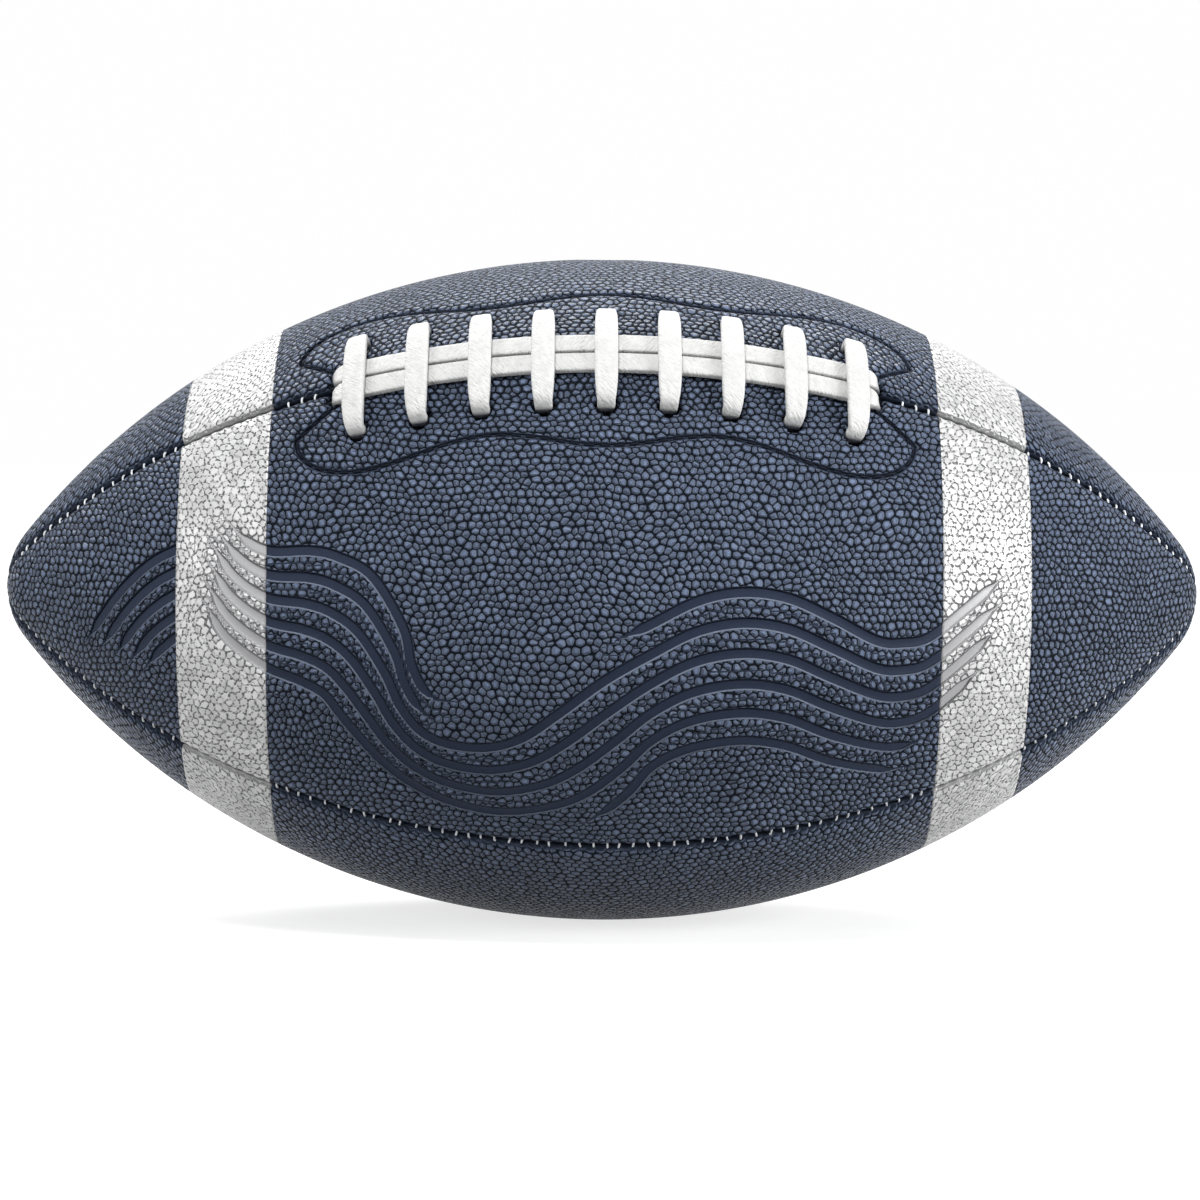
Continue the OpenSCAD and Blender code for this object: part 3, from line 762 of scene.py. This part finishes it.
def lace_route():
    """The lace's stations from one hidden tail to the other, as in the part's source."""
    half = UNDER_STEPS // 2 + 1
    surface_end = DIVE_X - STRAND_TURN
    tail_in = under_run((-DIVE_X, strand_arc), (-DIVE_X - 2 * TAIL_LENGTH, strand_arc),
                        (0, 0, 0))[:half][::-1]
    route = tail_in + dive(-1, strand_arc, 0)[::-1]
    route += strand(-surface_end, surface_end, strand_arc) + dive(1, strand_arc, U_TURN_TWIST)
    route += under_run((DIVE_X, strand_arc), (DIVE_X, -strand_arc), U_TURN_TWISTS)
    route += dive(1, -strand_arc, U_TURN_TWIST)[::-1]
    route += strand(surface_end, -surface_end, -strand_arc)
    route += dive(-1, -strand_arc, U_TURN_TWIST)
    route += under_run((-DIVE_X, -strand_arc), (-bar_reach, -HOLE_OFFSET),
                       (U_TURN_TWIST, U_TURN_TWIST, BAR_TWIST))
    for x in bar_places:
        route += [(x, -HOLE_OFFSET, -HOLE_STRAIGHT / 2, BAR_TWIST, 1)] + crossbar(x)
        route += [(x, HOLE_OFFSET, -HOLE_STRAIGHT / 2, BAR_TWIST, 1)]
        if x != bar_places[-1]:
            route += under_run((x, HOLE_OFFSET), (x + BAR_PITCH, -HOLE_OFFSET), BAR_TWISTS)
    tail_end = (x + LACE_W / 2, -strand_arc / 2)
    return np.array(route + under_run((x, HOLE_OFFSET), tail_end, BAR_TWISTS)[:half])


def cord_directions(points, along, arc, twist):
    """Directions of the cord's width and thickness at each station."""
    radius, tilt = meridian(along)[1:]
    turn = LACE_TURN + arc / radius
    twist = np.radians(twist)[:, None]
    across = np.stack([np.zeros_like(turn), np.cos(turn), np.sin(turn)], 1)
    forward = np.stack([np.cos(tilt), -np.sin(tilt) * np.sin(turn), np.sin(tilt) * np.cos(turn)], 1)
    wish = np.cos(twist) * across + np.sin(twist) * forward
    tangent = unit(np.gradient(points, axis=0))
    width = unit(wish - (wish * tangent).sum(1, keepdims=True) * tangent)
    return width, np.cross(tangent, width)


def lace_tube(material):
    """The lace as one flat cord with rounded edges, swept along its route."""
    x, arc, height, twist, pinch = lace_route().T
    along = arc_of(x)
    points = beside_seam(along, LACE_TURN, arc, height)
    width, thick = cord_directions(points, along, arc, twist)
    half_w = (LACE_W + (PINCH_W - LACE_W) * pinch) / 2
    half_t = (LACE_T + (PINCH_T - LACE_T) * pinch) / 2
    angle = np.linspace(0, 2 * math.pi, CORD_SIDES, endpoint=False) + math.pi / CORD_SIDES
    wide = eased(np.cos(angle), CORD_SIDE_POWER)
    deep = eased(np.sin(angle), CORD_FACE_POWER)
    ring = (points[:, None] + (half_w[:, None] * wide)[..., None] * width[:, None]
            + (half_t[:, None] * deep)[..., None] * thick[:, None])
    count = len(points)
    numbers = np.arange(count * CORD_SIDES).reshape(count, CORD_SIDES)
    faces = [face[::-1] for face in quads(np.hstack([numbers, numbers[:, :1]]))]
    faces += [numbers[0].tolist(), numbers[-1, ::-1].tolist()]
    piece = mesh_piece("lace_cord", ring.reshape(-1, 3), faces, material)
    fibre = np.stack([np.repeat(lengths(points)[:, None], CORD_SIDES, 1),
                      half_w[:, None] * wide, np.repeat(height[:, None], CORD_SIDES, 1)], -1)
    add_marks(piece, "grain", fibre.reshape(-1, 3))
    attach(piece, "root")
    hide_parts("lace")


def round_tubes(name, routes, radius, sides, material):
    """Short round threads, each along its own few points, in one piece."""
    points, faces = [], []
    for route in routes:
        tangent = unit(np.gradient(route, axis=0))
        side = unit(np.cross(tangent, route))
        up = np.cross(side, tangent)
        middle = 1 - np.linspace(-1, 1, len(route)) ** THREAD_END_POWER
        swell = np.sqrt(np.clip(middle, THREAD_END_SHARE, 1))
        angle = np.linspace(0, 2 * math.pi, sides, endpoint=False)[:, None]
        ring = route[:, None] + radius * swell[:, None, None] * (
            np.cos(angle) * side[:, None] + np.sin(angle) * up[:, None])
        start = sum(len(p) for p in points)
        numbers = start + np.arange(len(route) * sides).reshape(len(route), sides)
        faces += quads(np.hstack([numbers, numbers[:, :1]]))
        faces += [numbers[0, ::-1].tolist(), numbers[-1].tolist()]
        points.append(ring.reshape(-1, 3))
    piece = mesh_piece(name, np.vstack(points), faces, material)
    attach(piece, "root")
    return piece


def facing_stitches(panel, material):
    """Row of stitches in the facing's channel, which sink at their ends."""
    line = even_steps(stitch_route(), STITCH_LENGTH + STITCH_SPACE)
    share = np.linspace(0, 1, STITCH_POINTS)
    fill = STITCH_LENGTH / (STITCH_LENGTH + STITCH_SPACE)
    sink = -CHANNEL_D + STITCH_LIFT - STITCH_SINK * (2 * share - 1) ** STITCH_SINK_POWER
    routes = []
    for start, end in zip(line, line[1:]):
        spot = start + (end - start) * (share * fill)[:, None]
        arc = LACED_PANELS[panel] * spot[:, 1]
        routes.append(beside_seam(spot[:, 0], LACE_TURN, arc, sink))
    round_tubes(panel + "_facing_stitches", routes, STITCH_R, STITCH_SIDES, material)


def seam_stitches(name, material):
    """Thread seen in one seam: ticks from panel to panel, left out under the lace and film."""
    turn = SEAMS[name]
    rng = np.random.default_rng(int(math.degrees(turn)))
    end = arc_length + TICKS_PAST_ARC
    along = np.arange(-end, end, PUCKER_PITCH)
    along = along + rng.uniform(-TICK_STRAY, TICK_STRAY, len(along))
    share = np.linspace(-1, 1, TICK_POINTS)
    routes = []
    for spot in along:
        far = abs(meridian(spot)[0])
        under_lace = name == "lace_seam" and far < DIVE_X + TICKS_OFF_LACE
        if under_lace or STRIPE_NEAR - TICKS_OFF_STRIPE < far < STRIPE_FAR + TICKS_OFF_STRIPE:
            continue
        lean = rng.uniform(-TICK_LEAN, TICK_LEAN)
        narrowing = slot_half(meridian(spot)[1]) / SLOT_HALF
        half = TICK_HALF * min(1, narrowing + TICK_LEAST_SHARE)
        sink = TICK_SINK * np.abs(share) ** TICK_SINK_POWER
        height = TICK_TOP + rng.uniform(*TICK_LIFTS) - sink
        routes.append(beside_seam(spot + lean * share, turn, half * share, height))
    piece = round_tubes(name + "_stitches", routes, TICK_R, TICK_SIDES, material)
    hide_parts(name + "_thread")


class Graph:
    """A node tree, built with short calls that return a node's output."""

    def __init__(self, tree):
        self.tree = tree

    def feed(self, socket, value):
        """Another node's output or a plain value for an input."""
        if isinstance(value, bpy.types.NodeSocket):
            self.tree.links.new(value, socket)
        else:
            socket.default_value = value

    def node(self, kind, inputs, output=0, **settings):
        node = self.tree.nodes.new("ShaderNode" + kind)
        for key, value in settings.items():
            setattr(node, key, value)
        for key, value in inputs.items():
            self.feed(node.inputs[key], value)
        return node.outputs[output]

    def math(self, operation, a, b=0.0):
        return self.node("Math", {0: a, 1: b}, operation=operation)

    def times(self, a, b):
        return self.math("MULTIPLY", a, b)

    def vector(self, operation, a, b, output="Vector"):
        return self.node("VectorMath", {0: a, 1: b}, output=output, operation=operation)

    def spread(self, value, low, high, to_low=0.0, to_high=1.0, kind="SMOOTHSTEP"):
        """The value's way from low to high, as a number from to_low to to_high."""
        return self.node("MapRange", {0: value, 1: low, 2: high, 3: to_low, 4: to_high},
                         interpolation_type=kind)

    def choose(self, first, a, b):
        """The number a where first is 1 and b where it is 0."""
        return self.node("Mix", {0: first, 2: b, 3: a})

    def mix(self, factor, a, b):
        """The colour a where the factor is 0 and b where it is 1."""
        return self.node("Mix", {0: factor, 6: with_alpha(a), 7: with_alpha(b)}, output=2,
                         data_type="RGBA")

    def mark(self, name, axis=None):
        """A vector that the mesh holds for each point, or what it says on one axis."""
        vector = self.node("Attribute", {}, output="Vector", attribute_name=name)
        return self.node("SeparateXYZ", {0: vector}, output=axis) if axis else vector

    def noise(self, vector, scale, detail=2.0, output=0):
        return self.node("TexNoise", {"Vector": vector, "Scale": scale, "Detail": detail},
                         output=output)

    def spot(self):
        """Place in the ball's frame, in metres."""
        return self.node("TexCoord", {}, output="Object")

    def bump(self, height, depth):
        """Normal for a height, which counts in steps of the depth."""
        return self.node("Bump", {"Height": height, "Distance": depth * MM, "Strength": 1.0})

    def seen(self):
        """1 for the rays that look at the backdrop, and 0 for those that carry its light."""
        camera, mirror, clear = [self.node("LightPath", {}, output="Is " + ray + " Ray")
                                 for ray in ("Camera", "Glossy", "Transmission")]
        return self.math("MAXIMUM", camera, self.math("MAXIMUM", mirror, clear))


class Material(Graph):
    """The graph of a new material."""

    def __init__(self, name):
        self.material = bpy.data.materials.new(name)
        self.material.use_nodes = True
        super().__init__(self.material.node_tree)

    def finish(self, **values):
        """The material, with these values on its shader."""
        shader = self.tree.nodes["Principled BSDF"]
        for key, value in values.items():
            self.feed(shader.inputs[key.replace("_", " ")], with_alpha(value))
        return self.material


def with_alpha(value):
    """A colour as Blender takes it; anything else as it is."""
    return (*value, 1) if isinstance(value, tuple) else value


def scaled(colour, share):
    """A colour made darker, or lighter with a share over 1."""
    return tuple(part * share for part in colour)


def pebble_beside(graph, spot, shift, step):
    """How far a pebble's middle is, squared and less the pebble's own size, and its number."""
    moved = graph.vector("SUBTRACT", spot, (shift, shift * PEBBLE_ROW, 0))
    cell = graph.vector("FLOOR", graph.vector("ADD", graph.vector(
        "DIVIDE", moved, (1, PEBBLE_ROW, 1)), (0, 0.5, 0)), (0, 0, 0))
    cell = graph.vector("ADD", cell, (step, 0, 0))
    chance = graph.node("TexWhiteNoise", {"Vector": graph.vector("ADD", cell, (shift / 2, 0, 0))},
                        output="Color", noise_dimensions="2D")
    stray = graph.vector("MULTIPLY", graph.vector("SUBTRACT", chance, (0.5, 0.5, 0)),
                         (PEBBLE_STRAY, PEBBLE_STRAY, 0))
    middle = graph.vector("ADD", graph.vector("MULTIPLY", cell, (1, PEBBLE_ROW, 0)), stray)
    away = graph.vector("SUBTRACT", moved, middle)
    distance = graph.vector("DOT_PRODUCT", away, away, output="Value")
    number = graph.node("SeparateXYZ", {0: chance}, output="Z")
    size = graph.times(number, PEBBLE_SPREAD)
    return graph.math("SUBTRACT", distance, size), number


def pebbles(graph, grain):
    """Distance to a pebble's edge in pebble widths, rounded at corners, and its number."""
    drift = graph.noise(grain, scale=0.05, detail=0.0, output="Color")
    bend = graph.vector("MULTIPLY", drift, GRAIN_BEND)
    spot = graph.vector("MULTIPLY", graph.vector("ADD", grain, bend),
                        (1 / PEBBLE_PITCH, 1 / PEBBLE_PITCH, 0))
    (a, a_number), (b, b_number), (c, c_number), (d, d_number) = [
        pebble_beside(graph, spot, shift, step) for shift in (0, 0.5) for step in (0, 1)]
    ab, cd = graph.math("MINIMUM", a, b), graph.math("MINIMUM", c, d)
    nearest = graph.math("MINIMUM", ab, cd)
    next_one = graph.math("MINIMUM", graph.math("MAXIMUM", ab, cd), graph.math(
        "MINIMUM", graph.math("MAXIMUM", a, b), graph.math("MAXIMUM", c, d)))
    ab_number = graph.choose(graph.math("LESS_THAN", a, b), a_number, b_number)
    cd_number = graph.choose(graph.math("LESS_THAN", c, d), c_number, d_number)
    number = graph.choose(graph.math("LESS_THAN", ab, cd), ab_number, cd_number)
    edge = graph.times(graph.math("SUBTRACT", next_one, nearest), 0.5)
    off_middle = graph.math("ADD", nearest, graph.times(number, PEBBLE_SPREAD))
    corner = graph.spread(off_middle, *PEBBLE_CORNER)
    return graph.math("SUBTRACT", edge, corner), number


def leather_grain(graph, edge, grain, off_wave):
    """Height of the leather's domed pebbles, and where the gaps between them get painted shade."""
    rise = graph.spread(edge, *LEATHER_DOME, kind="LINEAR")
    dome = graph.times(rise, graph.math("SUBTRACT", 2.0, rise))
    return dome, graph.spread(edge, *LEATHER_GAP)


def film_grain(graph, edge, grain, off_wave):
    """The same for the film, which bridges many gaps, most of all far from the grooves."""
    flat_top = graph.spread(edge, *FILM_PEBBLE)
    shown = graph.spread(graph.noise(grain, scale=1.6), *FILM_PATCHES)
    hollow = graph.times(graph.math("SUBTRACT", 1.0, flat_top), shown)
    near_wave = graph.spread(off_wave, *FILM_BY_WAVE)
    gap = graph.times(graph.spread(edge, *FILM_CREASE), graph.math("MAXIMUM", shown, near_wave))
    return graph.math("SUBTRACT", 1.0, hollow), gap


def cover(name, surface, look):
    """Pebble grain that fades out at seams, in the wave grooves and in the stitches' channel."""
    graph = Material(name)
    grain = graph.mark("grain")
    wave = graph.mark("marks", WAVE_AXIS)
    off_wave = graph.math("ABSOLUTE", wave)
    off_stitch = graph.math("ABSOLUTE", graph.mark("marks", STITCH_AXIS))
    off_seam = graph.mark("marks", EDGE_AXIS)
    pit = graph.node("Attribute", {}, output="Fac", attribute_name="pit")
    fine = graph.noise(grain, scale=4.0, detail=3.0)

    edge, number = pebbles(graph, grain)
    pebble, gap = surface(graph, edge, grain, off_wave)
    clear_wave = graph.spread(off_wave, *WAVE_CLEAR)
    clear = graph.times(clear_wave, graph.spread(off_stitch, *STITCH_CLEAR))
    clear = graph.times(clear, graph.spread(off_seam, *SEAM_CLEAR))
    gap_shade_and_roughness = graph.times(gap, clear)

    pebble = graph.math("ADD", pebble, graph.times(number, PEBBLE_STEP))
    height = graph.times(pebble, clear)
    for part in (graph.times(fine, FINE_H), graph.spread(off_stitch, *STITCH_DIP),
                 graph.spread(off_wave, *WAVE_DIP)):
        height = graph.math("ADD", height, part)

    tone = graph.times(graph.spread(number, *PEBBLE_TONE, kind="LINEAR"),
                       graph.spread(graph.noise(grain, scale=0.09), *BROAD_TONE))
    shade = graph.mix(tone, (0, 0, 0), look["colour"])
    shade.node.clamp_factor = False
    # Painted highlight: a lighter ring on every pebble's shoulder.
    glint = graph.times(graph.spread(edge, *GLINT_UP), graph.spread(edge, *GLINT_DOWN))
    shade = graph.mix(graph.times(glint, clear), shade, look["painted_highlight"])
    # Painted shade in the gaps between pebbles.
    shade = graph.mix(gap_shade_and_roughness, shade, look["painted_shade"])
    shade = graph.mix(clear_wave, look["groove"], shade)
    # Painted highlight along one side of each wave groove.
    painted_highlight = graph.times(graph.spread(wave, *GROOVE_HIGHLIGHT_UP), graph.spread(wave, *GROOVE_HIGHLIGHT_DOWN))
    shade = graph.mix(painted_highlight, shade, look["painted_highlight"])
    # Painted shade in the stitches' channel and on the edges that roll into the seams.
    shade = graph.mix(graph.spread(off_stitch, *STITCH_SHADE), shade, look["painted_shade"])
    shade = graph.mix(graph.spread(off_seam, *look["seam_shade"]), shade, look["painted_shade"])
    # Painted shade on the floor that closes each hole.
    shade = graph.mix(graph.spread(pit, *HOLE_SHADE), shade, HOLE_PAINTED_SHADE)

    rough = graph.math("ADD", graph.times(gap_shade_and_roughness, CRACK_ROUGH),
                       graph.spread(fine, *NOISE, *look["roughness"]))
    return graph.finish(Base_Color=shade, Roughness=rough,
                        Normal=graph.bump(height, look["depth"]), **look["shader"])


def white_lace():
    """White cord with slanting streaks, and painted shade where it goes down into its holes."""
    graph = Material("lace_white")
    grain = graph.mark("grain")
    slanted = graph.node("Mapping", {"Vector": grain, "Rotation": (0, 0, 0.9),
                                     "Scale": (1.5, 0.4, 1.0)}, vector_type="TEXTURE")
    streak = graph.noise(slanted, scale=1.0, detail=3.0)
    broad = graph.noise(grain, scale=0.45)
    colour = graph.mix(graph.spread(broad, *NOISE), LACE_WHITE, LACE_WORN)
    colour = graph.mix(graph.spread(streak, *LACE_STREAKS), colour, LACE_STREAK)
    # Painted shade on the lace where it goes down below the cover.
    foot = graph.spread(graph.mark("grain", "Z"), *LACE_FOOT)
    colour = graph.mix(foot, colour, LACE_SHADOW)
    relief = graph.math("ADD", graph.times(streak, -1.0), broad)
    rough = graph.spread(streak, *NOISE, to_low=0.5, to_high=0.68)
    return graph.finish(Base_Color=colour, Roughness=rough, Normal=graph.bump(relief, depth=0.38))


def thread(name, colour, roughness, specular=0.5):
    """Twisted sewing thread."""
    graph = Material(name)
    twist = graph.node("TexWave", {"Vector": graph.spot(), "Scale": 1400.0, "Distortion": 2.0})
    tone = graph.noise(graph.spot(), scale=900.0)
    shade = graph.mix(graph.spread(tone, *NOISE), scaled(colour, share=0.7), colour)
    rough = graph.spread(tone, *NOISE, *roughness)
    return graph.finish(Base_Color=shade, Roughness=rough, Specular_IOR_Level=specular,
                        Normal=graph.bump(twist, depth=0.06))


def rubber(name, colour, roughness):
    """Moulded rubber with a pale bloom."""
    graph = Material(name)
    fine = graph.noise(graph.spot(), scale=1500.0, detail=4.0)
    broad = graph.noise(graph.spot(), scale=90.0)
    shade = graph.mix(graph.spread(broad, *NOISE), colour, scaled(colour, share=1.5))
    rough = graph.spread(fine, *NOISE, *roughness)
    return graph.finish(Base_Color=shade, Roughness=rough, Normal=graph.bump(fine, depth=0.08))


def canvas(name, colour):
    """Woven lining cloth."""
    graph = Material(name)
    warp, weft = [graph.node("TexWave", {"Vector": graph.spot(), "Scale": 420.0},
                             bands_direction=way) for way in "XZ"]
    weave = graph.math("MAXIMUM", warp, weft)
    shade = graph.mix(weave, scaled(colour, share=0.6), colour)
    rough = graph.spread(weave, 0, 1, to_low=0.85, to_high=0.7)
    return graph.finish(Base_Color=shade, Roughness=rough, Normal=graph.bump(weave, depth=0.15))


def photo_camera():
    """Camera at the photographer's place."""
    data = bpy.data.cameras.new("photo_camera")
    data.sensor_width = SENSOR
    data.lens = CAMERA_FOCUS_PIXELS / IMAGE * SENSOR
    data.shift_x = (IMAGE / 2 - CAMERA_MIDDLE[0]) / IMAGE
    data.shift_y = (CAMERA_MIDDLE[1] - IMAGE / 2) / IMAGE
    data.clip_start, data.clip_end = CAMERA_CLIP
    camera = bpy.data.objects.new("photo_camera", data)
    bpy.context.scene.collection.objects.link(camera)
    # Rows of the view matrix: right, up and back of the camera in the ball's frame.
    tip = Matrix.Rotation(CAMERA_RISE - math.pi / 2, 3, "X")
    view = Matrix.Rotation(CAMERA_ROLL, 3, "Z") @ Matrix.Rotation(CAMERA_YAW, 3, "Y") @ tip
    turn = view.transposed()
    camera.matrix_world = Matrix.Translation(turn @ Vector((0, 0, CAMERA_AWAY * MM))) @ turn.to_4x4()
    bpy.context.scene.camera = camera


def floor():
    """Pale floor, white to the eye, that still takes the ball's shadow."""
    graph = Material("floor_paint")
    grain = graph.noise(graph.spot(), scale=60.0, detail=4.0)
    away = graph.node("VectorMath", {0: graph.spot()}, output="Value", operation="LENGTH")
    glow = graph.times(graph.seen(), graph.spread(away, *FLOOR_GLOW))
    paint = graph.finish(Base_Color=graph.mix(graph.spread(grain, *NOISE), *FLOOR_GREYS),
                         Roughness=0.85, Specular_IOR_Level=0.2, Emission_Color=(1, 1, 1),
                         Emission_Strength=glow, Normal=graph.bump(grain, depth=0.2))
    corners = [(x * FLOOR_SIDE, y * FLOOR_SIDE, FLOOR_Z)
               for x, y in ((-1, -1), (1, -1), (1, 1), (-1, 1))]
    piece = mesh_piece("floor", corners, [(0, 1, 2, 3)], paint, flat=True)


def area_light(name, power, size, spot):
    """Soft lamp that faces the ball's centre."""
    data = bpy.data.lights.new(name, "AREA")
    data.energy = power
    data.shape, data.size, data.size_y = "RECTANGLE", *size
    light = bpy.data.objects.new(name, data)
    light.location = spot
    light.rotation_euler = (-Vector(spot)).to_track_quat("-Z", "Y").to_euler()
    bpy.context.scene.collection.objects.link(light)


def world():
    """White surroundings, brighter to the eye than their light."""
    scene_world = bpy.data.worlds.new("studio")
    bpy.context.scene.world = scene_world
    scene_world.use_nodes = True
    graph = Graph(scene_world.node_tree)
    background = graph.tree.nodes["Background"]
    strength = graph.spread(graph.seen(), 0.0, 1.0, WORLD_LIGHT, WORLD_SEEN, kind="LINEAR")
    graph.feed(background.inputs["Strength"], strength)
    graph.feed(background.inputs["Color"], (1, 1, 1, 1))


navy_leather = cover("navy_leather", leather_grain, NAVY_LOOK)
silver_film = cover("silver_film", film_grain, FILM_LOOK)
dark_thread = thread("dark_thread", (0.004, 0.006, 0.012), roughness=(0.6, 0.8), specular=0.08)
pale_thread = thread("pale_thread", (0.62, 0.64, 0.67), roughness=(0.5, 0.8))
lining_cloth = canvas("lining_cloth", (0.5, 0.44, 0.32))
bladder_rubber = rubber("bladder_rubber", (0.012, 0.012, 0.013), roughness=(0.5, 0.75))
plug_rubber = rubber("plug_rubber", (0.16, 0.145, 0.125), roughness=(0.55, 0.75))

for panel_name in PANELS:
    panel_skin(panel_name, navy_leather)
stripe_film("left", -1, silver_film)
stripe_film("right", 1, silver_film)
lace_tube(white_lace())
for panel_name in LACED_PANELS:
    facing_stitches(panel_name, dark_thread)
for seam_name in SEAMS:
    seam_stitches(seam_name, pale_thread)

finishes = {"lace_guard": lining_cloth, "bladder": bladder_rubber,
            "valve_housing": bladder_rubber, "valve_plug": plug_rubber}
finishes.update({panel + "_lining": lining_cloth for panel in PANELS})
finishes.update({panel + "_lace_facing": lining_cloth for panel in LACED_PANELS})
for node_name, finish in finishes.items():
    node = frame["nodes"][node_name]
    node.data.materials.clear()
    node.data.materials.append(finish)

photo_camera()
world()
floor()
for lamp_name, (lamp_power, lamp_size, lamp_spot) in LAMPS.items():
    area_light(lamp_name, lamp_power, lamp_size, lamp_spot)

bpy.context.scene.view_settings.view_transform = "Standard"
